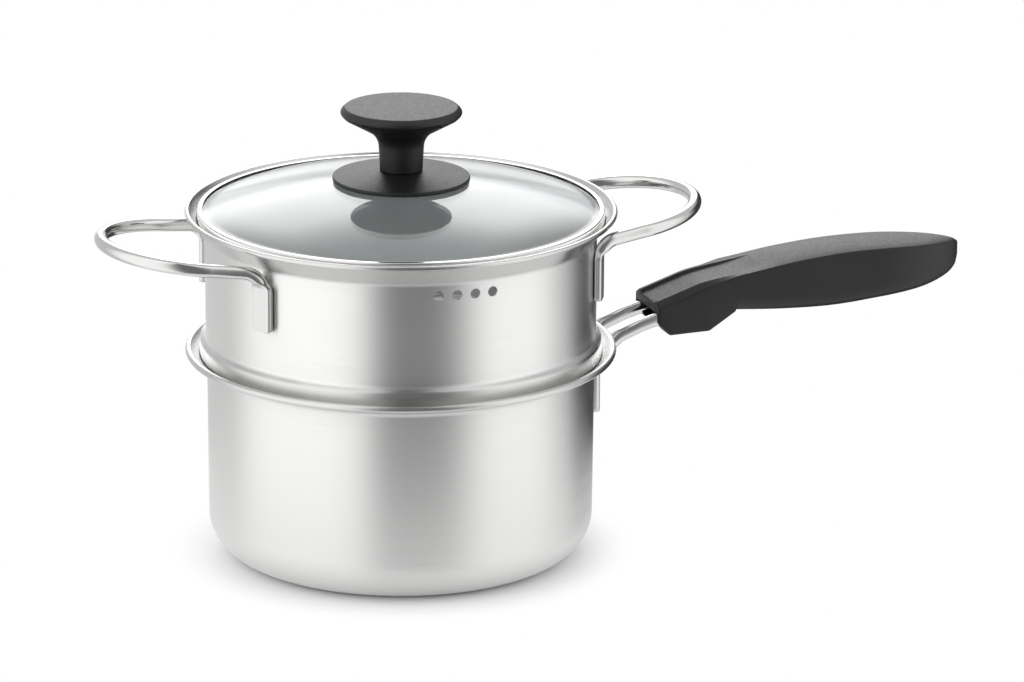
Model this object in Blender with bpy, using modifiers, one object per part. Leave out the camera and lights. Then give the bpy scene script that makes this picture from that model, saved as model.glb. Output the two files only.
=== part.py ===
"""Two-tier steamer: a saucepan with a two-rod handle, a steamer tier that stands in its rim, and a glass lid.

The origin is the middle of the pan's underside, +Z is up and +X runs along the pan's long handle.
"""

import math

import bmesh
import bpy
from mathutils import Matrix, Vector

MM = 0.001

# Sheet metal and clearances
SHEET = 0.6 * MM
SEAT_GAP = 0.3 * MM  # between pieces that touch
SCREW_GAP = 0.3 * MM  # round a screw's shank in its holes

# Saucepan, measured outside
PAN_RIM_RADIUS = 96.4 * MM
PAN_FLARE = 9.7 * MM  # how far its rim stands out from its wall
PAN_FLARE_HEIGHT = 6.8 * MM
PAN_RADIUS = PAN_RIM_RADIUS - PAN_FLARE
PAN_TAPER = 0.6 * MM  # the wall draws in by this much down to the corner
PAN_HEIGHT = 95.4 * MM
PAN_CORNER = 19.0 * MM
PAN_BEAD = 1.6 * MM  # radius of the rolled edge
PAN_CREASE = 1.2 * MM

# Steamer tier, measured outside and upwards from the shelf that it stands on
STEAMER_RIM_STEP = 0.1 * MM  # its rim is this much smaller than the pan's
STEAMER_RIM_RADIUS = PAN_RIM_RADIUS - STEAMER_RIM_STEP
STEAMER_FLARE = 9.0 * MM
STEAMER_FLARE_HEIGHT = 11.1 * MM
STEAMER_RADIUS = STEAMER_RIM_RADIUS - STEAMER_FLARE
STEAMER_HEIGHT = 66.8 * MM
STEAMER_BEAD = 1.15 * MM
STEAMER_CREASE = 1.2 * MM
RING_OVERHANG = 2.6 * MM  # how far the seat ring stands out from the wall
RING_HEIGHT = 7.6 * MM
RING_SLOPE = 2.2 * MM
RING_ROUND = 2.2 * MM
RING_HEEL = 1.0 * MM  # rounding of the edge that rests on the pan's flare
PLUG_CLEARANCE = 1.8 * MM  # between the part that dips into the pan and the pan's wall
PLUG_DEPTH = 10.0 * MM
PLUG_CORNER = 5.0 * MM

# Steam openings
VENT_COUNT = 4
VENT_RADIUS = 2.3 * MM
VENT_PITCH = 8.3 * MM
VENT_DROP = 5.0 * MM  # below the crease of the flare
VENT_SIDES = 12
BASE_HOLE_RADIUS = 2.75 * MM
BASE_HOLE_PITCH = 19.0 * MM
BASE_HOLE_RINGS = 3
BASE_HOLE_SIDES = 8
DRILL_DEPTH = 12.0 * MM  # through the sheet with room to spare

# Loop handles of the steamer, of round rod
ROD_RADIUS = 3.0 * MM
PAD_BLEND = 5.0 * MM  # length over which the rod goes from pressed to round
PAD_ROUND = 2.4 * MM  # rounding of a pad's lower corners
LOOP_PAD_ANGLE = math.radians(28.4)
LOOP_PAD_THICKNESS = 3.2 * MM
LOOP_PAD_WIDTH = 10.6 * MM
LOOP_PAD_LENGTH = 19.6 * MM
LOOP_PAD_DROP = 7.4 * MM  # from the crease of the flare down to the pad
LOOP_BEND = 9.0 * MM
LOOP_DRAW_IN = 3.03 * MM  # each leg leans in by this much from its pad to the round end
LOOP_STANDOFF = 41.1 * MM  # from the steamer's rim to the middle of the round end
LOOP_TILT = math.radians(7.0)
LOOP_DROP = 1.1 * MM  # from the crease to the rod's middle above the pad

# Long handle of the pan
FRAME_HALF_WIDTH = 10.5 * MM
FRAME_PAD_THICKNESS = 4.4 * MM
FRAME_PAD_WIDTH = 8.2 * MM
FRAME_PAD_LENGTH = 19.0 * MM
FRAME_PAD_DROP = 11.6 * MM  # from the crease of the flare down to the pad
FRAME_RISE = math.radians(41.0)
FRAME_LOWER_SLOPE = math.radians(21.3)
FRAME_MIDDLE_SLOPE = math.radians(15.6)
FRAME_UPPER_SLOPE = math.radians(10.3)
FRAME_RISE_RUN = 11.6 * MM  # level length of each stretch
FRAME_LOWER_RUN = 10.0 * MM
FRAME_MIDDLE_RUN = 14.0 * MM
FRAME_UPPER_RUN = 74.0 * MM
FRAME_BEND = 10.0 * MM
FRAME_LONG_BEND = 34.0 * MM

# Moulded grip
GRIP_LENGTH = 152.0 * MM
GRIP_STANDOFF = 21.6 * MM  # from the pan's rim to the grip's front end
GRIP_WALL = 1.2 * MM  # plastic outside the rods at the mouth
GRIP_FULL_SHARE = 0.3  # share of its length over which it keeps the mouth's width
GRIP_PALM = 29.0 * MM
GRIP_NOSE = 47.0 * MM  # length over which the end comes to its point
GRIP_NOSE_POWER = 2.6  # how late the nose draws in
GRIP_NOSE_ROUND = 0.7  # how bluntly it ends
GRIP_TIP_HALF_WIDTH = 1.1 * MM
GRIP_RIB_INSET = 3.5 * MM
GRIP_RIB_WIDTH = 1.0 * MM
GRIP_RIB_LEAN = 0.5 * MM  # of a rib's inner side
GRIP_EDGE_IN = 0.3 * MM  # the top edge stands in by this and down by the land
GRIP_EDGE_LAND = 0.6 * MM
GRIP_BELLY_ROUND = 7.0 * MM
GRIP_BLOCK_ROUND = 1.2 * MM
GRIP_NOTCH_LENGTH = 6.5 * MM
GRIP_NOTCH_HALF_WIDTH = 6.5 * MM
GRIP_NOTCH_DEPTH = 12.0 * MM  # below the rods' middle, out through the block's underside
GRIP_CUT_LEAD = 4.0 * MM  # the slot and the notch are cut from this far before the front end
GRIP_SCREW_PLACE = 16.0 * MM  # from the front end
TIE_LENGTH = 10.0 * MM
TIE_THICKNESS = 2.5 * MM
GRIP_SCREW_RADIUS = 2.0 * MM
GRIP_SCREW_HEAD_RADIUS = 3.8 * MM
GRIP_SCREW_HEAD_HEIGHT = 2.4 * MM
GRIP_SCREW_SUNK = 1.2 * MM
GRIP_SCREW_POINT = 0.8 * MM  # the shank's end past the tie plate
BORE_OVERLAP = 2.0 * MM  # of the shank's bore into the head's

# Screws
SCREW_TIP = 0.6  # chamfer of the shank's end, as a share of its radius
SCREW_HEAD_ROUND = 0.8  # rounding of the head, as a share of its height

# Glass lid
LID_INSET = 5.55 * MM  # from the steamer's rim in to the lid's
LID_RADIUS = STEAMER_RIM_RADIUS - LID_INSET
LID_RIM_SHEET = 0.4 * MM
LID_RIM_LIP = 2.35 * MM
LID_RIM_ROUND = 0.8 * MM
GLASS_THICKNESS = 4.0 * MM
GLASS_FLAT = 2.2 * MM  # flat border of the glass inside its steel rim
DOME_RISE = 14.9 * MM
DOME_STEPS = 6
GLASS_HOLE_RADIUS = 4.0 * MM

# Knob stack
FLANGE_RADIUS = 30.6 * MM
FLANGE_EDGE = 1.9 * MM
FLANGE_EDGE_ROUND = 0.6 * MM
FLANGE_EDGE_WIDTH = 2.0 * MM  # of the flat foot that rests on the glass
FLANGE_STEP = 1.0 * MM  # its flat middle reaches this far past the knob's foot and the gasket
GASKET_THICKNESS = 0.8 * MM
GASKET_RADIUS = 8.5 * MM
FLANGE_WEB = 1.7 * MM
KNOB_HEIGHT = 29.1 * MM
KNOB_RADIUS = 27.7 * MM  # of the corner that its edge is rounded from
KNOB_FACE_RADIUS = 25.0 * MM
KNOB_FACE_ROUND = 1.5 * MM
KNOB_EDGE_DROP = 2.9 * MM  # from the top down to the widest part of the edge
KNOB_EDGE_ROUND = 1.6 * MM
KNOB_DISC = 5.0 * MM
KNOB_CROWN = 0.4 * MM
KNOB_UNDER_RADIUS = 25.6 * MM
KNOB_UNDER_ROUND = 1.0 * MM
KNOB_FOOT_RADIUS = 9.5 * MM
KNOB_WAIST_RADIUS = 9.9 * MM
KNOB_WAIST_HEIGHT = 8.0 * MM
KNOB_COVE_RADIUS = 10.4 * MM  # where the stem's line meets the disc's underside
KNOB_COVE_DROP = 8.6 * MM  # from the disc's lower edge down to there
KNOB_COVE = 9.0 * MM
INSERT_RADIUS = 4.0 * MM
INSERT_LENGTH = 15.0 * MM
INSERT_COLLAR = 5.0 * MM  # length of its full width at each end
INSERT_GROOVE = 0.5 * MM
INSERT_SLOPE = 1.0 * MM  # length over which the groove deepens
LOWER_GASKET_RADIUS = 9.0 * MM
LOWER_GASKET_ROUND = 0.4 * MM
LOWER_GASKET_THICKNESS = 1.5 * MM
WASHER_RADIUS = 8.0 * MM
WASHER_THICKNESS = 1.0 * MM
KNOB_SCREW_RADIUS = 2.3 * MM
KNOB_SCREW_HEAD_RADIUS = 4.6 * MM
KNOB_SCREW_HEAD_HEIGHT = 2.4 * MM
KNOB_SCREW_GRIP = 11.0 * MM  # length of its shank inside the insert

# Facets
ROUND_STEPS = 36
KNOB_STEPS = 26
SMALL_STEPS = 16
EDGE_STEPS = 9  # round a rolled edge
PROFILE_TURN = math.radians(30)
ROD_TURN = math.radians(18)
SMALL_BEND = 1.5 * MM  # tighter bends get half as many facets
SHARP = math.radians(38)  # edges that turn by more than this stay sharp
MERGE = 0.01 * MM

PARTS = "two_tier_steamer"
CUTTERS = "cutters"


def clear_scene():
    for old in list(bpy.data.objects):
        bpy.data.objects.remove(old, do_unlink=True)
    for name in (PARTS, CUTTERS):
        group = bpy.data.collections.new(name)
        bpy.context.scene.collection.children.link(group)
    bpy.data.collections[CUTTERS].hide_render = True


def finish_of(name, colour, metallic, roughness, transmission=0.0):
    """A plain material for one kind of surface."""
    made = bpy.data.materials.get(name)
    if made:
        return made
    made = bpy.data.materials.new(name)
    made.use_nodes = True
    shader = made.node_tree.nodes["Principled BSDF"]
    shader.inputs["Base Color"].default_value = (*colour, 1.0)
    shader.inputs["Metallic"].default_value = metallic
    shader.inputs["Roughness"].default_value = roughness
    shader.inputs["Transmission Weight"].default_value = transmission
    return made


def satin_steel():
    return finish_of("satin stainless steel", (0.60, 0.60, 0.59), 1.0, 0.32)


def polished_steel():
    return finish_of("polished stainless steel", (0.68, 0.68, 0.67), 1.0, 0.12)


def phenolic():
    return finish_of("black phenolic", (0.035, 0.035, 0.037), 0.0, 0.5)


def silicone():
    return finish_of("grey silicone", (0.25, 0.25, 0.26), 0.0, 0.6)


def brass():
    return finish_of("brass", (0.72, 0.52, 0.22), 1.0, 0.3)


def tempered_glass():
    return finish_of("tempered glass", (0.9, 0.95, 0.94), 0.0, 0.02, 1.0)


def put(obj, material, parent=None, group=PARTS):
    """Adds an object to its collection, under the carrier that it moves with."""
    bpy.data.collections[group].objects.link(obj)
    obj.parent = parent
    if group == CUTTERS:
        obj.hide_render = True
        obj.display_type = "WIRE"
    else:
        obj.data.materials.append(material)
        obj.data.shade_smooth()
        obj.data.set_sharp_from_angle(angle=SHARP)
    return obj


def carrier(name, height):
    """An empty on the pan's axis: what hangs on it lifts off together."""
    empty = bpy.data.objects.new(name, None)
    empty.location.z = height
    empty.empty_display_size = 0.02
    bpy.data.collections[PARTS].objects.link(empty)
    return empty


def rounded(corners, turn):
    """A path through (point, radius) corners, each radius an arc cut into steps of at most turn."""
    path = [corners[0][0]]
    for (before, _), (corner, radius), (after, _) in zip(corners, corners[1:], corners[2:]):
        back, ahead = (before - corner).normalized(), (after - corner).normalized()
        half = back.angle(ahead) / 2
        if radius <= 0 or math.pi - 2 * half < 0.01:
            path.append(corner)
            continue
        centre = corner + (back + ahead).normalized() * radius / math.sin(half)
        start = corner + back * radius / math.tan(half) - centre
        sweep = math.pi - 2 * half
        axis = ahead.cross(back)
        step = turn if radius > SMALL_BEND else 2 * turn
        count = max(2, math.ceil(sweep / step))
        for k in range(count + 1):
            path.append(centre + Matrix.Rotation(sweep * k / count, 3, axis) @ start)
    path.append(corners[-1][0])
    return path


def arc(centre, radius, start, end, count):
    """Points on a circle in the X-Z plane, at angles in radians."""
    angles = [start + (end - start) * k / count for k in range(count + 1)]
    return [centre + Vector((radius * math.cos(a), 0, radius * math.sin(a))) for a in angles]


def flat(corners):
    """(r, z, radius) rows as (point, radius) corners in the X-Z plane."""
    return [(Vector((r, 0, z)), radius) for r, z, radius in corners]


def inset(corners, wall):
    """The corners of the same sheet's other face, a wall further in, with the bends to match."""
    points = [point for point, _ in corners]
    runs = [(b - a).normalized() for a, b in zip(points, points[1:])]
    inward = [Vector((run.z, 0, -run.x)) for run in runs]
    moved = [(points[0] + inward[0] * wall, 0.0)]
    for k in range(1, len(points) - 1):
        turn = runs[k - 1].x * runs[k].z - runs[k - 1].z * runs[k].x
        miter = (inward[k - 1] + inward[k]).normalized()
        point = points[k] + miter * wall / miter.dot(inward[k])
        radius = corners[k][1]
        moved.append((point, max(0.0, radius + math.copysign(wall, turn)) if radius > wall else 0.0))
    moved.append((points[-1] + inward[-1] * wall, 0.0))
    return moved


def flare_of(crease, centre, bead):
    """Slope of a flare whose inner face runs on smoothly into the top of its rolled edge."""
    along = centre - crease
    return math.atan2(along.z, along.x) + math.asin((bead - SHEET) / along.length)


def rolled_shell(crease, crease_round, centre, bead, below):
    """Profile of a drawn sheet with a rolled edge: up the inside, over the edge and down the outside.

    It starts and ends on the axis. The corners below run from the crease down to the axis.
    """
    slope = flare_of(crease, centre, bead)
    along = Vector((math.cos(slope), 0, math.sin(slope)))
    up = Vector((-along.z, 0, along.x))
    inner_end = centre + up * bead
    hidden = math.acos((bead - SHEET) / bead)
    edge_start = slope + math.pi / 2
    edge = arc(centre, bead, edge_start, edge_start - math.tau + hidden, EDGE_STEPS)
    outer = [(edge[-1], 0.0), (crease, crease_round)] + below
    inner = inset(outer, SHEET)
    inner[0] = (inner_end, 0.0)
    upwards = rounded(inner, PROFILE_TURN)[::-1]
    return upwards[:-1] + edge + rounded(outer, PROFILE_TURN)[1:]


def turned(name, profile, material, parent=None, steps=ROUND_STEPS, closed=False, group=PARTS):
    """A profile in the X-Z plane spun round the Z axis."""
    mesh = bpy.data.meshes.new(name)
    count = len(profile)
    edges = [(k, (k + 1) % count) for k in range(count if closed else count - 1)]
    mesh.from_pydata(profile, edges, [])
    obj = put(bpy.data.objects.new(name, mesh), material, parent, group)
    spin = obj.modifiers.new("spin", "SCREW")
    spin.steps = spin.render_steps = steps
    spin.use_merge_vertices = True
    spin.merge_threshold = MERGE
    return obj


def ring(name, corners, material, parent=None, steps=SMALL_STEPS):
    """A turned ring: (r, z, radius) rows that start on top, go out, down and back in."""
    loop = flat(corners)
    middle = (loop[0][0] + loop[-1][0]) / 2
    path = rounded([(middle, 0.0)] + loop + [(middle, 0.0)], PROFILE_TURN)
    return turned(name, path[:-1], material, parent, steps, closed=True)


def cut(obj, cutter, name):
    boolean = obj.modifiers.new(name, "BOOLEAN")
    boolean.operation = "DIFFERENCE"
    boolean.solver = "EXACT"
    boolean.object = cutter


def mesh_of(name, shape):
    """Ends an edit: the shape as a named mesh."""
    mesh = bpy.data.meshes.new(name)
    shape.to_mesh(mesh)
    shape.free()
    return mesh


def solid_of(curve):
    """The closed body that a curve sweeps or fills, ready for editing."""
    route = bpy.data.objects.new(curve.name, curve)
    bpy.context.scene.collection.objects.link(route)
    swept = route.evaluated_get(bpy.context.evaluated_depsgraph_get())
    mesh = bpy.data.meshes.new_from_object(swept)
    bpy.data.objects.remove(route, do_unlink=True)
    shape = bmesh.new()
    shape.from_mesh(mesh)
    bpy.data.meshes.remove(mesh)
    bmesh.ops.remove_doubles(shape, verts=shape.verts, dist=MERGE)
    return shape


def spline_of(curve, points, cyclic=False):
    spline = curve.splines.new("POLY")
    spline.points.add(len(points) - 1)
    for point, place in zip(spline.points, points):
        point.co = (*place, 1.0)
    spline.use_cyclic_u = cyclic


def drills(name, radius, depth, places, sides, parent=None):
    """One cutter of many drills, each a (matrix) place whose Z axis the drill follows."""
    shape = bmesh.new()
    for place in places:
        bmesh.ops.create_cone(
            shape, cap_ends=True, segments=sides, radius1=radius, radius2=radius,
            depth=depth, matrix=place,
        )
    return put(bpy.data.objects.new(name, mesh_of(name, shape)), None, parent, CUTTERS)


def block(name, low, high, material=None, parent=None, group=CUTTERS):
    """A box between two opposite corners."""
    low, high = Vector(low), Vector(high)
    shape = bmesh.new()
    bmesh.ops.create_cube(shape, size=1.0)
    bmesh.ops.scale(shape, vec=high - low, verts=shape.verts)
    bmesh.ops.translate(shape, vec=(low + high) / 2, verts=shape.verts)
    return put(bpy.data.objects.new(name, mesh_of(name, shape)), material, parent, group)


def press(verts, foot, pad, end):
    """Flattens the round rod above a foot into a pad with a rounded lower end."""
    top, thickness, width = pad["top"], pad["thickness"], pad["width"]
    facing = foot.normalized()
    across = Vector((-facing.y, facing.x, 0))
    for vert in verts:
        out, side = (vert.co - foot).dot(facing), vert.co.dot(across)
        if abs(side) > 2 * ROD_RADIUS or abs(out) > 2 * ROD_RADIUS:
            continue
        share = min(1.0, max(0.0, (top + PAD_BLEND - vert.co.z) / PAD_BLEND))
        share = share * share * (3 - 2 * share)
        most = ROD_RADIUS + (thickness / 2 - ROD_RADIUS) * share
        wide = 1 + (width / (2 * ROD_RADIUS) - 1) * share
        short = min(1.0, max(0.0, 1 - (vert.co.z - end) / PAD_ROUND))
        wide *= 1 - (1 - math.sqrt(1 - short * short)) * 2 * PAD_ROUND / width
        vert.co += facing * (max(-thickness / 2, min(most, out)) - out)
        vert.co += across * side * (wide - 1)


def pad_points(foot, pad):
    """Points up a straight pad: close together where its lower end is rounded."""
    lifts = [PAD_ROUND * (1 - math.cos(math.pi / 2 * k / 3)) for k in range(4)]
    return [foot + Vector((0, 0, pad["top"] - pad["length"] + lift)) for lift in lifts]


def pressed_rod(name, path, material, parent, feet, pad):
    """Round rod along a path, pressed flat on one side where it is welded on.

    Each foot is a point straight below the middle of a pad, which faces away from the Z axis.
    """
    curve = bpy.data.curves.new(name + "_route", "CURVE")
    curve.dimensions = "3D"
    curve.bevel_depth = ROD_RADIUS
    curve.bevel_resolution = 3
    curve.use_fill_caps = True
    spline_of(curve, path)
    shape = solid_of(curve)
    for foot in feet:
        press(shape.verts, foot, pad, pad["top"] - pad["length"])
    bmesh.ops.recalc_face_normals(shape, faces=shape.faces)
    return put(bpy.data.objects.new(name, mesh_of(name, shape)), material, parent)


def pan_crease():
    return Vector((PAN_RADIUS, 0, PAN_HEIGHT - PAN_FLARE_HEIGHT))


def pan_bead():
    return Vector((PAN_RIM_RADIUS - PAN_BEAD, 0, PAN_HEIGHT - PAN_BEAD))


def steamer_crease():
    return Vector((STEAMER_RADIUS, 0, STEAMER_HEIGHT - STEAMER_FLARE_HEIGHT))


def steamer_bead():
    return Vector((STEAMER_RIM_RADIUS - STEAMER_BEAD, 0, STEAMER_HEIGHT - STEAMER_BEAD))


def rest_height(crease, centre, bead, radius, heel):
    """Height at which a ring of this outer radius and heel rounding rests on a flare's inner face."""
    slope = flare_of(crease, centre, bead)
    heel_radius = radius - heel
    face = crease.z + (heel_radius - crease.x) * math.tan(slope) + SHEET / math.cos(slope)
    return face + (heel + SEAT_GAP) / math.cos(slope) - heel


def ring_radius():
    return STEAMER_RADIUS + RING_OVERHANG


def seat_height():
    """The steamer's shelf above the pan's underside."""
    return rest_height(pan_crease(), pan_bead(), PAN_BEAD, ring_radius(), RING_HEEL)


def lid_height():
    """The lower edge of the lid's rim above the steamer's shelf."""
    return rest_height(steamer_crease(), steamer_bead(), STEAMER_BEAD, LID_RADIUS, LID_RIM_ROUND)


def make_pan():
    lowest = PAN_RADIUS - PAN_TAPER
    below = flat([(lowest, 0, PAN_CORNER), (0, 0, 0)])
    profile = rolled_shell(pan_crease(), PAN_CREASE, pan_bead(), PAN_BEAD, below)
    return turned("pan_body", profile, satin_steel())


def vent_places():
    """Four drills through the steamer's wall, side by side under the flare and facing -Y."""
    height = steamer_crease().z - VENT_DROP
    for k in range(VENT_COUNT):
        turn = (k - (VENT_COUNT - 1) / 2) * VENT_PITCH / STEAMER_RADIUS
        spot = Vector((STEAMER_RADIUS * math.sin(turn), -STEAMER_RADIUS * math.cos(turn), height))
        yield Matrix.Translation(spot) @ Matrix.Rotation(turn, 4, "Z") @ Matrix.Rotation(math.pi / 2, 4, "X")


def base_hole_places():
    """A hole in the middle and rings of six, twelve and eighteen round it."""
    yield Matrix.Translation((0, 0, -PLUG_DEPTH))
    for nth in range(1, BASE_HOLE_RINGS + 1):
        for k in range(6 * nth):
            around = math.tau * k / (6 * nth)
            spot = (nth * BASE_HOLE_PITCH * math.cos(around), nth * BASE_HOLE_PITCH * math.sin(around))
            yield Matrix.Translation((*spot, -PLUG_DEPTH))


def make_steamer(parent):
    plug = PAN_RADIUS - SHEET - PLUG_CLEARANCE
    shoulder = RING_HEIGHT + RING_SLOPE
    below = flat([
        (STEAMER_RADIUS, shoulder, RING_ROUND),
        (ring_radius(), RING_HEIGHT, RING_ROUND),
        (ring_radius(), 0, RING_HEEL),
        (plug, 0, RING_HEEL),
        (plug, -PLUG_DEPTH, PLUG_CORNER),
        (0, -PLUG_DEPTH, 0),
    ])
    profile = rolled_shell(steamer_crease(), STEAMER_CREASE, steamer_bead(), STEAMER_BEAD, below)
    body = turned("steamer_body", profile, satin_steel(), parent)
    vents = drills("vent_drills", VENT_RADIUS, DRILL_DEPTH, vent_places(), VENT_SIDES, parent)
    base = drills("base_drills", BASE_HOLE_RADIUS, DRILL_DEPTH, base_hole_places(), BASE_HOLE_SIDES, parent)
    cut(body, vents, "side vents")
    cut(body, base, "base holes")
    return body


def loop_pad():
    top = steamer_crease().z - LOOP_PAD_DROP
    return {
        "top": top, "length": LOOP_PAD_LENGTH, "thickness": LOOP_PAD_THICKNESS, "width": LOOP_PAD_WIDTH,
    }


def loop_foot(side):
    stand = STEAMER_RADIUS + SEAT_GAP + LOOP_PAD_THICKNESS / 2
    return Vector((stand * math.cos(LOOP_PAD_ANGLE), side * stand * math.sin(LOOP_PAD_ANGLE), 0))


def loop_leg(side):
    """One leg of a loop handle from its pad's lower end to the start of the round end."""
    foot = loop_foot(side)
    crease = steamer_crease().z
    corner = foot + Vector((0, 0, crease - LOOP_DROP))
    half_width = loop_foot(1).y - LOOP_DRAW_IN
    turn_start = STEAMER_RIM_RADIUS + LOOP_STANDOFF - half_width
    rise = (turn_start - foot.x) * math.tan(LOOP_TILT)
    leg_end = Vector((turn_start, side * half_width, corner.z + rise))
    pad = pad_points(foot, loop_pad())
    return rounded([(point, 0.0) for point in pad] + [(corner, LOOP_BEND), (leg_end, 0.0)], ROD_TURN)


def half_turn(start, slope):
    """Points of a half-round bend, from a path's end at -Y to its mirror image at +Y."""
    count = math.ceil(math.pi / ROD_TURN)
    points = []
    for k in range(1, count):
        turn = -math.pi / 2 + math.pi * k / count
        out = -start.y * math.cos(turn)
        points.append(Vector((start.x + out, -start.y * math.sin(turn), start.z + out * math.tan(slope))))
    return points


def make_loop(name, parent, facing):
    """A loop handle: two welded pads and a rod that rises outwards to a half-round end."""
    near, far = loop_leg(-1), loop_leg(1)
    path = near + half_turn(near[-1], LOOP_TILT) + far[::-1]
    feet = (loop_foot(-1), loop_foot(1))
    obj = pressed_rod(name, path, polished_steel(), parent, feet, loop_pad())
    obj.rotation_euler.z = facing
    return obj


def pad_stand():
    """Distance from the axis to the middle of the long handle's pressed pads."""
    return PAN_RADIUS + SEAT_GAP + FRAME_PAD_THICKNESS / 2


def frame_pad():
    top = pan_crease().z - FRAME_PAD_DROP
    return {
        "top": top, "length": FRAME_PAD_LENGTH, "thickness": FRAME_PAD_THICKNESS,
        "width": FRAME_PAD_WIDTH,
    }


def pad_x():
    return math.sqrt(pad_stand() ** 2 - FRAME_HALF_WIDTH ** 2)


def frame_corners():
    """(x, z, bend) of the long handle's rods, from the first bend above the pads to the last."""
    x = pad_x()
    z = pan_crease().z - FRAME_PAD_DROP + PAD_BLEND
    corners = [(x, z, FRAME_BEND)]
    stretches = (
        (FRAME_RISE_RUN, FRAME_RISE, FRAME_BEND),
        (FRAME_LOWER_RUN, FRAME_LOWER_SLOPE, FRAME_LONG_BEND),
        (FRAME_MIDDLE_RUN, FRAME_MIDDLE_SLOPE, FRAME_LONG_BEND),
        (FRAME_UPPER_RUN, FRAME_UPPER_SLOPE, 0.0),
    )
    for run, slope, bend in stretches:
        x += run
        z += run * math.tan(slope)
        corners.append((x, z, bend))
    return corners


def frame_height(x):
    """Height of the rods' middle at this distance from the axis."""
    corners = frame_corners()
    for (x0, z0, _), (x1, z1, _) in zip(corners, corners[1:]):
        if x0 < x <= x1:
            return z0 + (z1 - z0) * (x - x0) / (x1 - x0)
    return corners[-1][1] + (x - corners[-1][0]) * math.tan(FRAME_UPPER_SLOPE)


def make_frame():
    """The long handle's steel: one rod, bent back on itself, with both ends welded to the pan."""
    pad = pad_points(Vector((pad_x(), 0, 0)), frame_pad())
    run = rounded([(point, 0.0) for point in pad] + flat(frame_corners()), ROD_TURN)
    aside = Vector((0, FRAME_HALF_WIDTH, 0))
    near = [point - aside for point in run]
    far = [point + aside for point in run]
    path = near + half_turn(near[-1], FRAME_UPPER_SLOPE) + far[::-1]
    feet = [Vector((pad_x(), side * FRAME_HALF_WIDTH, 0)) for side in (-1, 1)]
    return pressed_rod("pan_handle_frame", path, polished_steel(), None, feet, frame_pad())


def through(points, s):
    """A smooth curve through (place, value) points, read at s."""
    if s <= points[0][0]:
        return points[0][1]
    if s >= points[-1][0]:
        return points[-1][1]
    k = max(i for i, (place, _) in enumerate(points) if place <= s)
    (s0, v0), (s1, v1) = points[k], points[k + 1]

    def tangent(i):
        if i == 0 or i == len(points) - 1:
            j = min(i, len(points) - 2)
            return (points[j + 1][1] - points[j][1]) / (points[j + 1][0] - points[j][0])
        return (points[i + 1][1] - points[i - 1][1]) / (points[i + 1][0] - points[i - 1][0])

    t = (s - s0) / (s1 - s0)
    m0, m1 = tangent(k) * (s1 - s0), tangent(k + 1) * (s1 - s0)
    return (
        (2 * t**3 - 3 * t**2 + 1) * v0 + (t**3 - 2 * t**2 + t) * m0
        + (3 * t**2 - 2 * t**3) * v1 + (t**3 - t**2) * m1
    )


# The grip's lines: share of its length from the front end, and height above the rods' middle at
# the mouth, both along the palm side. Its ribs stand on the top face and fade out by RIBS_END.
RIDGE_LINE = (
    (0.0, 8.5 * MM), (0.084, 12.7 * MM), (0.145, 15.6 * MM), (0.21, 17.3 * MM), (0.31, 19.4 * MM),
    (0.434, 22.1 * MM), (0.59, 24.1 * MM), (0.74, 24.3 * MM), (0.89, 23.2 * MM), (1.0, 21.4 * MM),
)
BLOCK_LINE = ((0.0, -1.3 * MM), (0.036, -7.0 * MM), (0.163, -6.6 * MM), (0.246, 1.4 * MM))
BELLY_LINE = (
    (0.256, 0.9 * MM), (0.41, -0.9 * MM), (0.57, -1.5 * MM), (0.73, 0.2 * MM), (0.84, 2.0 * MM),
    (0.90, 3.8 * MM), (0.95, 6.2 * MM), (0.98, 8.8 * MM), (1.0, 13.0 * MM),
)
CHAMFER_LINE = ((0.0, 2.0 * MM), (0.09, 2.7 * MM), (0.19, 1.4 * MM), (0.26, 0.0))
CHANNEL_LINE = ((0.0, 1.9 * MM), (0.16, 1.6 * MM), (0.256, 1.2 * MM), (0.31, 0.6 * MM), (0.35, 0.0))
CROWN_LINE = ((0.30, 0.0), (0.45, 1.2 * MM), (0.9, 1.2 * MM), (1.0, 0.6 * MM))
RIBS_END = 0.35
GRIP_CUTS = (
    0.0, 0.018, 0.036, 0.07, 0.115, 0.163, 0.19, 0.218, 0.246, 0.275, 0.31, 0.35, 0.40, 0.46,
    0.53, 0.60, 0.67, 0.74, 0.80, 0.85, 0.89, 0.925, 0.955, 0.977, 0.992, 1.0,
)


def grip_front():
    return PAN_RIM_RADIUS + GRIP_STANDOFF


def slot_half_width():
    return FRAME_HALF_WIDTH + ROD_RADIUS + SEAT_GAP


def grip_half_width(share):
    """Half the grip's width: full at the mouth, a little less in the palm, then a pointed end."""
    mouth = slot_half_width() + GRIP_WALL
    nose_start = 1 - GRIP_NOSE / GRIP_LENGTH
    if share <= nose_start:
        return through(((0.0, mouth), (GRIP_FULL_SHARE, mouth), (nose_start, GRIP_PALM / 2)), share)
    ahead = (share - nose_start) / (1 - nose_start)
    nose = GRIP_PALM / 2 * (1 - ahead ** GRIP_NOSE_POWER) ** GRIP_NOSE_ROUND
    return max(nose, GRIP_TIP_HALF_WIDTH)


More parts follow.
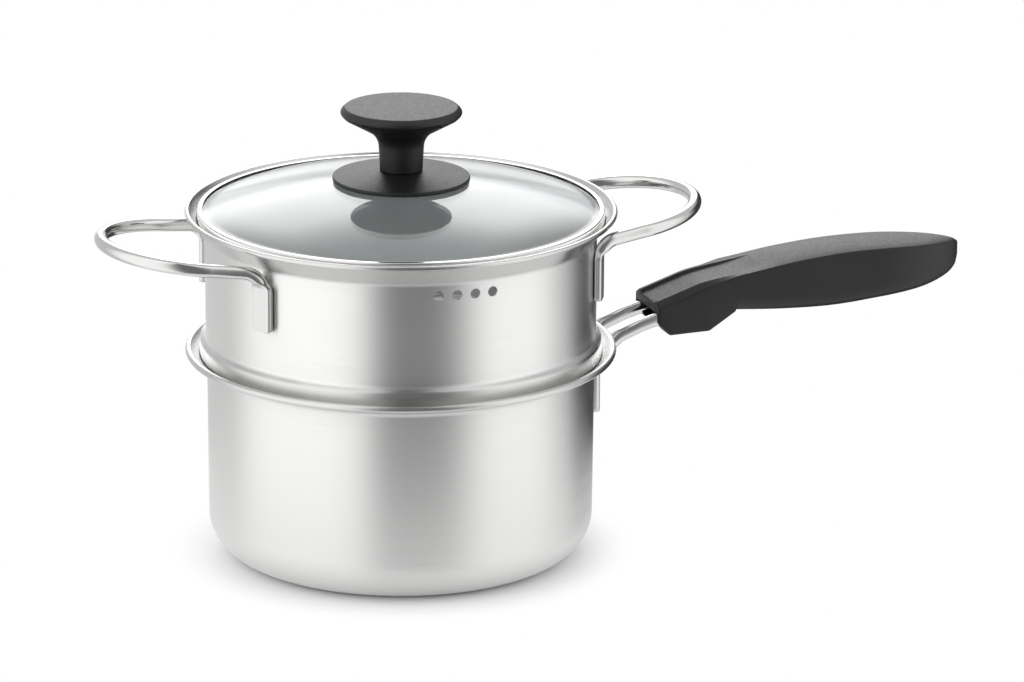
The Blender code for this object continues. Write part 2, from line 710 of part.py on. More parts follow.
def grip_section(share):
    """One cross-section of the grip as (y, z) points, from the middle of its top down the +Y side."""
    half = grip_half_width(share)
    ridge = through(RIDGE_LINE, share)
    edge = ridge - through(CHAMFER_LINE, share)
    crown = through(CROWN_LINE, share)
    floor = through(CHANNEL_LINE, share)
    on_block = share <= BLOCK_LINE[-1][0]
    if on_block:
        ends = [k for k in range(1, len(BLOCK_LINE)) if BLOCK_LINE[k][0] >= share]
        (s0, v0), (s1, v1) = BLOCK_LINE[ends[0] - 1], BLOCK_LINE[ends[0]]
        bottom = v0 + (v1 - v0) * (share - s0) / (s1 - s0)
    else:
        bottom = through(BELLY_LINE, share)
    wish = GRIP_BLOCK_ROUND if on_block else GRIP_BELLY_ROUND
    belly = min(wish, 0.8 * half, 0.6 * (edge - bottom))
    inset_now = GRIP_RIB_INSET * min(1.0, half / (GRIP_PALM / 2))
    rib = max(half - inset_now, 0.3 * half)
    rib_in = max(rib - GRIP_RIB_WIDTH, 0.25 * half)
    ribbed = share < RIBS_END

    def top(y):
        return ridge + crown * (1 - (y / half) ** 2)

    foot_of_rib = max(rib_in - GRIP_RIB_LEAN, 0.2 * half)
    points = [(y, ridge - floor if ribbed else top(y)) for y in (0.0, 0.5 * rib_in, foot_of_rib)]
    points += [
        (rib_in, top(rib_in)),
        (rib, top(rib)),
        (half - min(GRIP_EDGE_IN, 0.1 * half), edge),
        (half, edge - GRIP_EDGE_LAND),
        (half, bottom + belly),
    ]
    for k in range(1, 4):
        turn = math.pi / 2 * k / 3
        points.append((half - belly + belly * math.cos(turn), bottom + belly - belly * math.sin(turn)))
    points.append((0.0, bottom))
    return points


def make_grip():
    """The moulded grip: a loft through cross-sections, hollowed for the rods and their screw."""
    front = grip_front()
    level = frame_height(front)
    shape = bmesh.new()
    rings = []
    for share in GRIP_CUTS:
        x = front + share * GRIP_LENGTH
        half = grip_section(share)
        outline = half + [(-y, z) for y, z in half[-2:0:-1]]
        rings.append([shape.verts.new((x, y, level + z)) for y, z in outline])
    for behind, ahead in zip(rings, rings[1:]):
        for k in range(len(behind)):
            j = (k + 1) % len(behind)
            shape.faces.new((behind[k], behind[j], ahead[j], ahead[k]))
    shape.faces.new(rings[0][::-1])
    shape.faces.new(rings[-1])
    bmesh.ops.recalc_face_normals(shape, faces=shape.faces)
    grip = put(bpy.data.objects.new("handle_grip", mesh_of("handle_grip", shape)), phenolic())
    cut(grip, slot_cutter(), "rod slot")
    cut(grip, notch_cutter(), "mouth notch")
    head, shank = screw_bores()
    cut(grip, head, "screw head bore")
    cut(grip, shank, "screw bore")
    return grip


def slot_cutter():
    """The flat pocket that the bent rod slides into, as high as the rod and as wide as both legs."""
    name = "rod_slot_cutter"
    start = grip_front() - GRIP_CUT_LEAD
    corners = frame_corners()
    end = corners[-1][0] + FRAME_HALF_WIDTH + ROD_RADIUS + SEAT_GAP
    places = [start] + [x for x, _, _ in corners if start < x] + [end]
    reach = ROD_RADIUS + SEAT_GAP
    outline = [(x, frame_height(x) + reach, 0) for x in places]
    outline += [(x, frame_height(x) - reach, 0) for x in reversed(places)]
    side_view = bpy.data.curves.new(name, "CURVE")
    side_view.dimensions = "2D"
    side_view.fill_mode = "BOTH"
    side_view.extrude = slot_half_width()
    spline_of(side_view, outline, cyclic=True)
    shape = solid_of(side_view)
    bmesh.ops.rotate(shape, matrix=Matrix.Rotation(math.pi / 2, 3, "X"), verts=shape.verts)
    bmesh.ops.recalc_face_normals(shape, faces=shape.faces)
    return put(bpy.data.objects.new(name, mesh_of(name, shape)), None, None, CUTTERS)


def notch_cutter():
    """The gap under the mouth between the two rods."""
    front = grip_front()
    level = frame_height(front)
    wide = GRIP_NOTCH_HALF_WIDTH
    low = (front - GRIP_CUT_LEAD, -wide, level - GRIP_NOTCH_DEPTH)
    return block("mouth_notch_cutter", low, (front + GRIP_NOTCH_LENGTH, wide, level))


def grip_screw_x():
    return grip_front() + GRIP_SCREW_PLACE


def block_underside():
    """Lowest height of the grip's block at its screw."""
    share = GRIP_SCREW_PLACE / GRIP_LENGTH
    return frame_height(grip_front()) + grip_section(share)[-1][1]


def screw_head_seat():
    return block_underside() + GRIP_SCREW_SUNK + GRIP_SCREW_HEAD_HEIGHT


def screw_bores():
    """The stepped hole up through the grip's block: a wide bore for the head, a narrow one above."""
    x = grip_screw_x()
    seat = screw_head_seat() + SEAT_GAP
    tall = seat - block_underside()
    head_place = Matrix.Translation((x, 0, seat - tall))
    low, high = seat - BORE_OVERLAP, frame_height(x)
    shank_place = Matrix.Translation((x, 0, (low + high) / 2))
    head = drills(
        "screw_head_bore", GRIP_SCREW_HEAD_RADIUS + SCREW_GAP, 2 * tall, [head_place], SMALL_STEPS
    )
    shank = drills(
        "screw_shank_bore", GRIP_SCREW_RADIUS + SCREW_GAP, high - low, [shank_place], SMALL_STEPS
    )
    return head, shank


def tie_height():
    """Underside of the tie plate, which lies across the slot at the screw."""
    return frame_height(grip_screw_x()) - TIE_THICKNESS / 2


def make_tie():
    """A tapped steel plate welded between the two rods, which the grip's screw draws down on."""
    x = grip_screw_x()
    wide = FRAME_HALF_WIDTH - ROD_RADIUS - SEAT_GAP
    low = (x - TIE_LENGTH / 2, -wide, tie_height())
    high = (x + TIE_LENGTH / 2, wide, tie_height() + TIE_THICKNESS)
    tie = block("grip_tie_plate", low, high, polished_steel(), None, PARTS)
    middle = Matrix.Translation((x, 0, tie_height() + TIE_THICKNESS / 2))
    drill = drills(
        "tie_drill", GRIP_SCREW_RADIUS + SCREW_GAP, 3 * TIE_THICKNESS, [middle], SMALL_STEPS
    )
    cut(tie, drill, "tapped hole")
    return tie


def screw(name, height, head_radius, head_height, shank_radius, length, parent):
    """A round-headed screw pointing up, with the underside of its head at this height."""
    point = SCREW_TIP * shank_radius
    profile = flat([
        (0, length, 0), (shank_radius - point, length, 0), (shank_radius, length - point, 0),
        (shank_radius, 0, 0), (head_radius, 0, 0),
        (head_radius, -head_height, SCREW_HEAD_ROUND * head_height), (0, -head_height, 0),
    ])
    obj = turned(name, rounded(profile, PROFILE_TURN), polished_steel(), parent, SMALL_STEPS)
    obj.location.z = height
    return obj


def make_grip_screw():
    length = tie_height() + TIE_THICKNESS + GRIP_SCREW_POINT - screw_head_seat()
    obj = screw(
        "grip_screw", screw_head_seat(), GRIP_SCREW_HEAD_RADIUS, GRIP_SCREW_HEAD_HEIGHT,
        GRIP_SCREW_RADIUS, length, None,
    )
    obj.location.x = grip_screw_x()
    return obj


def rim_height():
    """Outside height of the lid's steel rim, which holds the glass edge between its lips."""
    return GLASS_THICKNESS + 2 * SEAT_GAP + 2 * LID_RIM_SHEET


def glass_edge_top():
    return LID_RIM_SHEET + SEAT_GAP + GLASS_THICKNESS


def dome_radius():
    """Radius in plan where the flat border of the glass turns up into its dome."""
    return LID_RADIUS - LID_RIM_SHEET - SEAT_GAP - GLASS_FLAT


def dome_sphere():
    """Radius of the sphere that the dome's upper face follows."""
    return (dome_radius() ** 2 + DOME_RISE ** 2) / (2 * DOME_RISE)


def dome_top(radius):
    """Height of the glass's upper face above the rim's lower edge."""
    sphere = dome_sphere()
    apex = glass_edge_top() + DOME_RISE
    return apex - sphere + math.sqrt(sphere ** 2 - radius ** 2)


def make_lid_rim(parent):
    """A steel channel crimped round the glass edge."""
    outer, sheet = LID_RADIUS, LID_RIM_SHEET
    lip = outer - LID_RIM_LIP
    high = rim_height()
    return ring("lid_rim", [
        (lip, high, 0), (outer, high, LID_RIM_ROUND), (outer, 0, LID_RIM_ROUND), (lip, 0, 0),
        (lip, sheet, 0), (outer - sheet, sheet, 0), (outer - sheet, high - sheet, 0),
        (lip, high - sheet, 0),
    ], polished_steel(), parent, ROUND_STEPS)


def make_glass(parent):
    """The domed glass: two spherical faces a glass thickness apart, with a flat border and a hole."""
    edge = LID_RADIUS - LID_RIM_SHEET - SEAT_GAP
    sphere = dome_sphere()
    middle = glass_edge_top() + DOME_RISE - sphere
    inside = sphere - GLASS_THICKNESS
    low = glass_edge_top() - GLASS_THICKNESS
    inside_radius = math.sqrt(inside ** 2 - (low - middle) ** 2)
    upper, lower = [], []
    for k in range(DOME_STEPS + 1):
        share = k / DOME_STEPS
        out = GLASS_HOLE_RADIUS + (dome_radius() - GLASS_HOLE_RADIUS) * share
        upper.append((out, dome_top(out), 0))
        into = GLASS_HOLE_RADIUS + (inside_radius - GLASS_HOLE_RADIUS) * share
        lower.append((into, middle + math.sqrt(inside ** 2 - into ** 2), 0))
    border = [(edge, glass_edge_top(), 0), (edge, low, 0)]
    return ring("lid_glass", upper + border + lower[::-1], tempered_glass(), parent, ROUND_STEPS)


def flange_edge_bottom():
    return dome_top(FLANGE_RADIUS) + SEAT_GAP


def gasket_bottom():
    return dome_top(GLASS_HOLE_RADIUS) + SEAT_GAP


def web_bottom():
    """Underside of the flange over its gasket."""
    return gasket_bottom() + GASKET_THICKNESS + SEAT_GAP


def flange_top():
    return web_bottom() + FLANGE_WEB


def make_flange(parent):
    """The shallow dish under the knob: its edge rests on the glass and its middle on the gasket."""
    bore = KNOB_SCREW_RADIUS + SCREW_GAP
    low = flange_edge_bottom()
    return ring("knob_flange", [
        (bore, flange_top(), 0), (KNOB_FOOT_RADIUS + FLANGE_STEP, flange_top(), 0),
        (FLANGE_RADIUS, low + FLANGE_EDGE, FLANGE_EDGE_ROUND), (FLANGE_RADIUS, low, FLANGE_EDGE_ROUND),
        (FLANGE_RADIUS - FLANGE_EDGE_WIDTH, low, 0), (GASKET_RADIUS + FLANGE_STEP, web_bottom(), 0),
        (bore, web_bottom(), 0),
    ], phenolic(), parent, KNOB_STEPS)


def make_knob(parent):
    """The mushroom knob: a crowned disc on a flared stem, with a blind bore for its insert."""
    foot = flange_top() + SEAT_GAP
    top = foot + KNOB_HEIGHT
    under = top - KNOB_DISC
    bore = INSERT_RADIUS + SEAT_GAP
    depth = foot + INSERT_LENGTH + 2 * SEAT_GAP
    profile = rounded(flat([
        (0, top, 0), (KNOB_FACE_RADIUS, top - KNOB_CROWN, KNOB_FACE_ROUND),
        (KNOB_RADIUS, top - KNOB_EDGE_DROP, KNOB_EDGE_ROUND), (KNOB_UNDER_RADIUS, under, KNOB_UNDER_ROUND),
        (KNOB_COVE_RADIUS, under - KNOB_COVE_DROP, KNOB_COVE),
        (KNOB_WAIST_RADIUS, foot + KNOB_WAIST_HEIGHT, 0), (KNOB_FOOT_RADIUS, foot, 0),
        (bore, foot, 0), (bore, depth, 0), (0, depth, 0),
    ]), PROFILE_TURN)
    return turned("knob", profile, phenolic(), parent, KNOB_STEPS)


def make_insert(parent):
    """The tapped brass insert moulded into the knob, grooved so that it can't pull out."""
    foot = flange_top() + 2 * SEAT_GAP
    bore = KNOB_SCREW_RADIUS + SCREW_GAP
    top = foot + INSERT_LENGTH
    groove = INSERT_RADIUS - INSERT_GROOVE
    groove_end = INSERT_COLLAR + INSERT_SLOPE
    return ring("knob_insert", [
        (bore, top, 0), (INSERT_RADIUS, top, 0), (INSERT_RADIUS, top - INSERT_COLLAR, 0),
        (groove, top - groove_end, 0), (groove, foot + groove_end, 0),
        (INSERT_RADIUS, foot + INSERT_COLLAR, 0), (INSERT_RADIUS, foot, 0), (bore, foot, 0),
    ], brass(), parent)


def make_gasket(parent):
    """The silicone washer between the flange and the glass."""
    bore = KNOB_SCREW_RADIUS + SCREW_GAP
    low = gasket_bottom()
    return ring("flange_gasket", [
        (bore, low + GASKET_THICKNESS, 0), (GASKET_RADIUS, low + GASKET_THICKNESS, 0),
        (GASKET_RADIUS, low, 0), (bore, low, 0),
    ], silicone(), parent)


def lower_gasket_top():
    """Where the lower gasket meets the underside of the glass, at its own edge."""
    return dome_top(LOWER_GASKET_RADIUS) - GLASS_THICKNESS - SEAT_GAP


def make_lower_gasket(parent):
    """The collared washer under the glass: its collar keeps the screw off the hole's edge."""
    bore = KNOB_SCREW_RADIUS + SCREW_GAP
    collar = GLASS_HOLE_RADIUS - SEAT_GAP
    low = lower_gasket_top() - LOWER_GASKET_THICKNESS
    collar_top = gasket_bottom() - 2 * SEAT_GAP
    return ring("lower_gasket", [
        (bore, collar_top, 0), (collar, collar_top, 0), (collar, lower_gasket_top(), 0),
        (LOWER_GASKET_RADIUS, lower_gasket_top(), LOWER_GASKET_ROUND),
        (LOWER_GASKET_RADIUS, low, LOWER_GASKET_ROUND), (bore, low, 0),
    ], silicone(), parent)


def washer_top():
    return lower_gasket_top() - LOWER_GASKET_THICKNESS - SEAT_GAP


def make_washer(parent):
    bore = KNOB_SCREW_RADIUS + SCREW_GAP
    low = washer_top() - WASHER_THICKNESS
    return ring("knob_washer", [
        (bore, washer_top(), 0), (WASHER_RADIUS, washer_top(), 0), (WASHER_RADIUS, low, 0),
        (bore, low, 0),
    ], polished_steel(), parent)


def make_knob_screw(parent):
    shoulder = washer_top() - WASHER_THICKNESS - SEAT_GAP
    length = flange_top() + 2 * SEAT_GAP + KNOB_SCREW_GRIP - shoulder
    return screw(
        "knob_screw", shoulder, KNOB_SCREW_HEAD_RADIUS, KNOB_SCREW_HEAD_HEIGHT, KNOB_SCREW_RADIUS,
        length, parent,
    )


def main():
    clear_scene()
    make_pan()
    make_frame()
    make_grip()
    make_tie()
    make_grip_screw()
    steamer = carrier("steamer_carrier", seat_height())
    make_steamer(steamer)
    make_loop("steamer_handle_right", steamer, 0.0)
    make_loop("steamer_handle_left", steamer, math.pi)
    lid = carrier("lid_carrier", seat_height() + lid_height())
    make_lid_rim(lid)
    make_glass(lid)
    make_flange(lid)
    make_knob(lid)
    make_insert(lid)
    make_gasket(lid)
    make_lower_gasket(lid)
    make_washer(lid)
    make_knob_screw(lid)


main()
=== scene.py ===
# %% [markdown]
# # A two-tier steamer in stainless steel
#
# The real object is a small saucepan with one long handle. A steamer tier stands in its rim, and a
# domed glass lid closes the tier. Nearly everything about it is *turned*: the pan, the tier, the lid
# and the knob are each one outline spun round one axis. The rest is bent steel rod and a moulded grip.
#
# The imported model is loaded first. It fixes where each piece is, so every piece below takes its
# place from it. Lengths in this file are written in millimetres and multiplied by MM.

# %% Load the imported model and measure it
import math

import bmesh
import bpy
from mathutils import Matrix, Vector


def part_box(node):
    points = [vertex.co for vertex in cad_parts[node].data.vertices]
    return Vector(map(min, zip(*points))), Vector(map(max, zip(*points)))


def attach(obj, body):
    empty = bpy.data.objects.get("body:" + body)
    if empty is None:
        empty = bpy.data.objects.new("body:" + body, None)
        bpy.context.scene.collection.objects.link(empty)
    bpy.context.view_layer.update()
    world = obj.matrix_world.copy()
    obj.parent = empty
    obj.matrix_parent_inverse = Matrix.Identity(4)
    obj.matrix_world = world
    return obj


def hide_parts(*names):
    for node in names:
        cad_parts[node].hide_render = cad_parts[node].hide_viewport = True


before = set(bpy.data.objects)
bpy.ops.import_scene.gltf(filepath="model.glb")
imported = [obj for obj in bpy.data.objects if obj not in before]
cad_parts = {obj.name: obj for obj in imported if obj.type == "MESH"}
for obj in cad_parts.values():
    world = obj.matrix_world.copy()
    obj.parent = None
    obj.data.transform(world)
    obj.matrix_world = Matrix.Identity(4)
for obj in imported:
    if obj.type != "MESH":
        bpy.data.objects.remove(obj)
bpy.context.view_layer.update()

MM = 0.001


def levels(name):
    """Outer radius, lowest and highest level of a turned node, in millimetres."""
    low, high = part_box(name)
    return high.x / MM, low.z / MM, high.z / MM


PAN, TIER, LID = levels("pan_body"), levels("steamer_body"), levels("lid_rim")
print("radius, low and high of the pan, the tier and the lid's rim:", PAN, TIER, LID)

# %% [markdown]
# ## The camera
#
# The photograph was taken from a little above and from the left of the front, with a long lens, so
# that verticals stay almost parallel. The camera's back direction is worked out from those two
# angles, and a very small roll is added because the photograph leans by less than half a degree.

# %% Place the camera
AZIMUTH, ELEVATION, ROLL = math.radians(-20.0), math.radians(16.78), math.radians(0.40)
TARGET = Vector((46.7, -17.0, 96.8)) * MM
DISTANCE = 3.0
LENS, SENSOR = 235.723, 36  # focal length and sensor width in millimetres

TO_CAMERA = Vector((math.sin(AZIMUTH), -math.cos(AZIMUTH), 0))
TO_RIGHT = Vector((math.cos(AZIMUTH), math.sin(AZIMUTH), 0))
back = TO_CAMERA * math.cos(ELEVATION) + Vector((0, 0, math.sin(ELEVATION)))
up = back.cross(TO_RIGHT)
rolled_right = TO_RIGHT * math.cos(ROLL) + up * math.sin(ROLL)
rolled_up = up * math.cos(ROLL) - TO_RIGHT * math.sin(ROLL)
camera = bpy.data.objects.new("camera", bpy.data.cameras.new("camera"))
camera.matrix_world = (
    Matrix.Translation(TARGET + back * DISTANCE)
    @ Matrix((rolled_right, rolled_up, back)).transposed().to_4x4()
)
camera.data.lens = LENS
camera.data.sensor_width = SENSOR
camera.data.clip_end = 10 * DISTANCE
bpy.context.scene.collection.objects.link(camera)
bpy.context.scene.camera = camera
print("camera at", [round(v, 3) for v in camera.matrix_world.translation])

# %% [markdown]
# ## Tools for node trees
#
# Four small functions serve every material and every Geometry Nodes tree. `linear` turns a colour as
# a designer writes it, in sRGB hex, into the linear numbers that Blender's shaders use. `plug` sets
# or links sockets, and `node` adds one node with its settings and links, so that a tree reads as a
# list of steps. `new_material` starts a material. Where sockets have no name of their own they go by
# number: Map Range reads from 1 to 2 and gives from 3 to 4, and Mix takes its share at 0, and its
# two numbers at 2 and 3 or its two colours at 6 and 7.


# %% Colour and node helpers
def linear(code):
    """'#RRGGBB' in sRGB as a linear (r, g, b, 1) colour."""
    parts = [int(code[k:k + 2], 16) / 255 for k in (1, 3, 5)]
    return (*[p / 12.92 if p <= 0.04045 else ((p + 0.055) / 1.055) ** 2.4 for p in parts], 1.0)


def plug(made, inputs):
    """Sets or links sockets. A node stands for its first output in use, a list for several links."""
    tree = made.id_data
    for key, given in inputs.items():
        for value in given if isinstance(given, list) else [given]:
            if isinstance(value, bpy.types.Node):
                value = next(out for out in value.outputs if out.enabled)
            if isinstance(value, bpy.types.NodeSocket):
                tree.links.new(value, made.inputs[key])
            else:
                made.inputs[key].default_value = value


def node(tree, kind, inputs=(), **settings):
    """Adds one node to a tree."""
    made = tree.nodes.new(kind)
    for key, value in settings.items():
        setattr(made, key, value)
    plug(made, dict(inputs))
    return made


def new_material(name, **values):
    """A material, its tree, its Principled shader with plain values set, and the place on the object."""
    made = bpy.data.materials.new(name)
    made.use_nodes = True
    shader = made.node_tree.nodes["Principled BSDF"]
    plug(shader, {key.replace("_", " "): value for key, value in values.items()})
    return made, made.node_tree, shader, node(made.node_tree, "ShaderNodeTexCoord").outputs["Object"]


print("mid grey #808080 is", round(linear("#808080")[0], 3), "in linear light")

# %% [markdown]
# ## Satin stainless steel
#
# The vessels are pressed from 18-8 stainless sheet. While they spin on a lathe an abrasive belt
# rubs them, which leaves fine lines all the way round. The eye sees two things: each highlight
# is drawn out into an upright band, because the lines scatter light up and down, and close to, a
# hairline grain runs round the body. Anisotropy about the vertical axis gives the first. The second
# is a noise that is stretched round the axis: it changes slowly with x and y, and every half
# millimetre with height and radius. Real lines are about 0.1 mm apart, too fine to show here.
# The flares, the rolled edges and the seat ring were buffed, so the steel gets smoother there, and
# the radius tells them from the walls. They are also painted a little darker, which is painted shade
# and not a property of the steel.

# %% Hairlines round the axis
GRAIN = 0.55 * MM  # spacing of the hairlines, coarser than the real ones so that they show
GRAIN_LENGTH = 40 * MM


def hairlines(tree, place):
    """Noise drawn out round the Z axis, and the radius that it was made from."""
    plan = node(tree, "ShaderNodeVectorMath", {0: place, 1: (1, 1, 0)}, operation="MULTIPLY")
    radius = node(tree, "ShaderNodeVectorMath", {0: plan}, operation="LENGTH")
    height = node(tree, "ShaderNodeSeparateXYZ", {0: place}).outputs["Z"]
    across = node(tree, "ShaderNodeMath", {0: radius, 1: height}, operation="ADD")
    fine = node(tree, "ShaderNodeMath", {0: across, 1: 1 / GRAIN}, operation="MULTIPLY")
    slow = node(tree, "ShaderNodeVectorMath", {0: plan, "Scale": 1 / GRAIN_LENGTH}, operation="SCALE")
    rise = node(tree, "ShaderNodeCombineXYZ", {2: fine})
    spot = node(tree, "ShaderNodeVectorMath", {0: slow, 1: rise}, operation="ADD")
    noise = node(tree, "ShaderNodeTexNoise", {"Vector": spot, "Scale": 1.0, "Detail": 3.0, "Roughness": 0.6})
    return noise.outputs["Fac"], radius


# %% Satin steel
WALL_END, BUFFED_AND_SHADED_START = 87.6 * MM, 88.4 * MM  # radii


def satin_steel():
    made, tree, shader, place = new_material(
        "satin stainless steel", Metallic=1.0, Anisotropic=0.9, Anisotropic_Rotation=0.25,
    )
    grain, radius = hairlines(tree, place)
    tone = node(tree, "ShaderNodeMix", {
        0: grain, 6: linear("#E0E0DF"), 7: linear("#ECECEB"),
    }, data_type="RGBA")
    rubbed = node(tree, "ShaderNodeMapRange", {0: grain, 1: 0.3, 2: 0.7, 3: 0.34, 4: 0.44})
    buffed_and_shaded = node(tree, "ShaderNodeMapRange", {0: radius, 1: WALL_END, 2: BUFFED_AND_SHADED_START})
    # painted shade: the flares, rolled edges and seat ring get a darker colour, besides the real smoother
    # finish below
    tone = node(tree, "ShaderNodeMix", {0: buffed_and_shaded, 6: tone, 7: linear("#CECECD")}, data_type="RGBA")
    rough = node(tree, "ShaderNodeMix", {0: buffed_and_shaded, 2: rubbed, 3: 0.27})
    tangent = node(tree, "ShaderNodeTangent", direction_type="RADIAL", axis="Z")
    relief = node(tree, "ShaderNodeBump", {"Height": grain, "Strength": 0.1, "Distance": 0.02 * MM})
    plug(shader, {"Base Color": tone, "Roughness": rough, "Tangent": tangent, "Normal": relief})
    return made


SATIN = satin_steel()
print("made", SATIN.name, "of", len(SATIN.node_tree.nodes), "nodes")

# %% [markdown]
# ## Polished steel
#
# The handles are drawn 6 mm rod, tumbled with polishing stones after bending, and the lid's rim is
# thin bright strip. Both mirror the room clearly but not perfectly: a soft waviness from drawing and
# tumbling breaks up the reflections, and tiny scuffs make the gloss uneven. The pads that a press
# flattens are duller. Each rod's points carry an attribute that says how far they are pressed.

# %% Polished steel
WAVE = 7 * MM  # length of the waviness that drawing leaves
SCUFF = 0.8 * MM


def polished_steel():
    made, tree, shader, place = new_material("polished stainless steel", Metallic=1.0)
    wave = node(tree, "ShaderNodeTexNoise", {"Vector": place, "Scale": 1 / WAVE, "Detail": 1.0})
    scuff = node(tree, "ShaderNodeTexNoise", {"Vector": place, "Scale": 1 / SCUFF, "Detail": 4.0})
    tone = node(tree, "ShaderNodeMix", {
        0: scuff, 6: linear("#CBCBCA"), 7: linear("#D8D8D7"),
    }, data_type="RGBA")
    bright = node(tree, "ShaderNodeMapRange", {0: scuff, 1: 0.35, 2: 0.75, 3: 0.09, 4: 0.17})
    pressed = node(tree, "ShaderNodeAttribute", attribute_name="pressed").outputs["Fac"]
    rough = node(tree, "ShaderNodeMix", {0: pressed, 2: bright, 3: 0.36})
    relief = node(tree, "ShaderNodeBump", {"Height": wave, "Strength": 0.15, "Distance": 0.08 * MM})
    plug(shader, {"Base Color": tone, "Roughness": rough, "Normal": relief})
    return made


POLISHED = polished_steel()
print("made", POLISHED.name, "of", len(POLISHED.node_tree.nodes), "nodes")

# %% [markdown]
# ## Black phenolic
#
# Grip, knob and flange are compression-moulded phenolic resin, which stays hard near the hob's heat.
# The mould is spark-eroded, so the black surface has a fine pebbled grain about a third of a
# millimetre across. The grain is what turns the top faces grey: seen at a low angle they mirror a
# lot of white light, broken up by the pebbles, while the sides stay nearly black. A slow change of
# tone stands for the flow of the resin in the mould.

# %% Phenolic
PEBBLE = 0.8 * MM  # over twice as coarse as the real grain so that it shows
FLOW = 14 * MM


def moulded_phenolic():
    made, tree, shader, place = new_material("black moulded phenolic", IOR=1.5)
    pebbles = node(tree, "ShaderNodeTexNoise", {"Vector": place, "Scale": 1 / PEBBLE, "Detail": 2.0})
    flow = node(tree, "ShaderNodeTexNoise", {"Vector": place, "Scale": 1 / FLOW, "Detail": 2.0})
    tone = node(tree, "ShaderNodeMix", {
        0: flow, 6: linear("#101011"), 7: linear("#181819"),
    }, data_type="RGBA")
    rough = node(tree, "ShaderNodeMapRange", {0: pebbles, 1: 0.3, 2: 0.7, 3: 0.40, 4: 0.54})
    relief = node(tree, "ShaderNodeBump", {"Height": pebbles, "Strength": 0.6, "Distance": 0.09 * MM})
    plug(shader, {"Base Color": tone, "Roughness": rough, "Normal": relief})
    return made


PHENOLIC = moulded_phenolic()
print("made", PHENOLIC.name, "of", len(PHENOLIC.node_tree.nodes), "nodes")

# %% [markdown]
# ## Tempered glass
#
# The lid is 4 mm soda-lime glass, bent and tempered in a furnace. It is nearly colourless, with a
# faint blue-green that shows where the eye looks along the sheet. Its faces are fire-polished, so no
# grain belongs on them, only a very slight waviness from the bending.

# %% Tempered glass
BEND_WAVE = 45 * MM  # length of the waviness that bending leaves in the glass


def tempered_glass():
    made, tree, shader, place = new_material(
        "tempered soda-lime glass", Roughness=0.0, IOR=1.52, Transmission_Weight=1.0,
        Base_Color=linear("#F6FAFB"),
    )
    wave = node(tree, "ShaderNodeTexNoise", {"Vector": place, "Scale": 1 / BEND_WAVE, "Detail": 0.0})
    relief = node(tree, "ShaderNodeBump", {"Height": wave, "Strength": 0.05, "Distance": 0.3 * MM})
    plug(shader, {"Normal": relief})
    return made


GLASS = tempered_glass()
print("made", GLASS.name)

# %% [markdown]
# ## Silicone and brass
#
# The gaskets are pressed grey silicone, matt and slightly dusty. The knob's insert is turned brass,
# with the fine rings that a lathe's tool leaves.

# %% Silicone and brass
DUST = 0.6 * MM
TOOL_MARK = 0.6 * MM  # real feed marks are about 0.1 mm apart, drawn coarser to show
WAVE_FACTOR = 20  # the Wave Texture multiplies places by this, besides its scale


def pressed_silicone():
    made, tree, shader, place = new_material("grey pressed silicone", IOR=1.41)
    dust = node(tree, "ShaderNodeTexNoise", {"Vector": place, "Scale": 1 / DUST, "Detail": 3.0})
    tone = node(tree, "ShaderNodeMix", {
        0: dust, 6: linear("#8C8C8A"), 7: linear("#9C9C9A"),
    }, data_type="RGBA")
    rough = node(tree, "ShaderNodeMapRange", {0: dust, 1: 0.3, 2: 0.7, 3: 0.5, 4: 0.65})
    plug(shader, {"Base Color": tone, "Roughness": rough})
    return made


def turned_brass():
    made, tree, shader, place = new_material("turned brass", Metallic=1.0)
    marks = node(tree, "ShaderNodeTexWave", {
        "Vector": place, "Scale": math.tau / (WAVE_FACTOR * TOOL_MARK), "Distortion": 0.5,
    }, bands_direction="Z").outputs["Fac"]
    tone = node(tree, "ShaderNodeMix", {
        0: marks, 6: linear("#C9A24E"), 7: linear("#D8B465"),
    }, data_type="RGBA")
    rough = node(tree, "ShaderNodeMapRange", {0: marks, 3: 0.22, 4: 0.34})
    plug(shader, {"Base Color": tone, "Roughness": rough})
    return made


SILICONE, BRASS = pressed_silicone(), turned_brass()
print("made", SILICONE.name, "and", BRASS.name)

# %% [markdown]
# ## Tools for outlines
#
# A turned piece starts as an outline, a row of corners with a rounding at each. `rounded` turns
# such a row into points, with small steps round each bend. It works in the plane for outlines and in
# space for bent rod. `other_face` gives the second face of the same sheet, so that a wall keeps one
# thickness through all its bends.

# %% Outline helpers
STEP = math.radians(7)  # turn of an outline from one point to the next


def rounded(corners, step=STEP):
    """(point, rounding) corners in millimetres as a row of points with an arc at each corner."""
    points = [corners[0][0]]
    for (last, _), (corner, size), (ahead, _) in zip(corners, corners[1:], corners[2:]):
        to_last, to_next = (last - corner).normalized(), (ahead - corner).normalized()
        half = to_last.angle(to_next) / 2
        sweep = math.pi - 2 * half
        if size <= 0 or sweep < 0.01:
            points.append(corner)
            continue
        middle = corner + (to_last + to_next).normalized() * size / math.sin(half)
        start = corner + to_last * size / math.tan(half) - middle
        count = max(3, math.ceil(sweep / step))
        for k in range(count + 1):
            points.append(middle + Matrix.Rotation(sweep * k / count, 3, to_next.cross(to_last)) @ start)
    points.append(corners[-1][0])
    return points


def flat(rows):
    """(r, z, rounding) rows as corners in the plane through the axis."""
    return [(Vector((r, 0, z)), size) for r, z, size in rows]


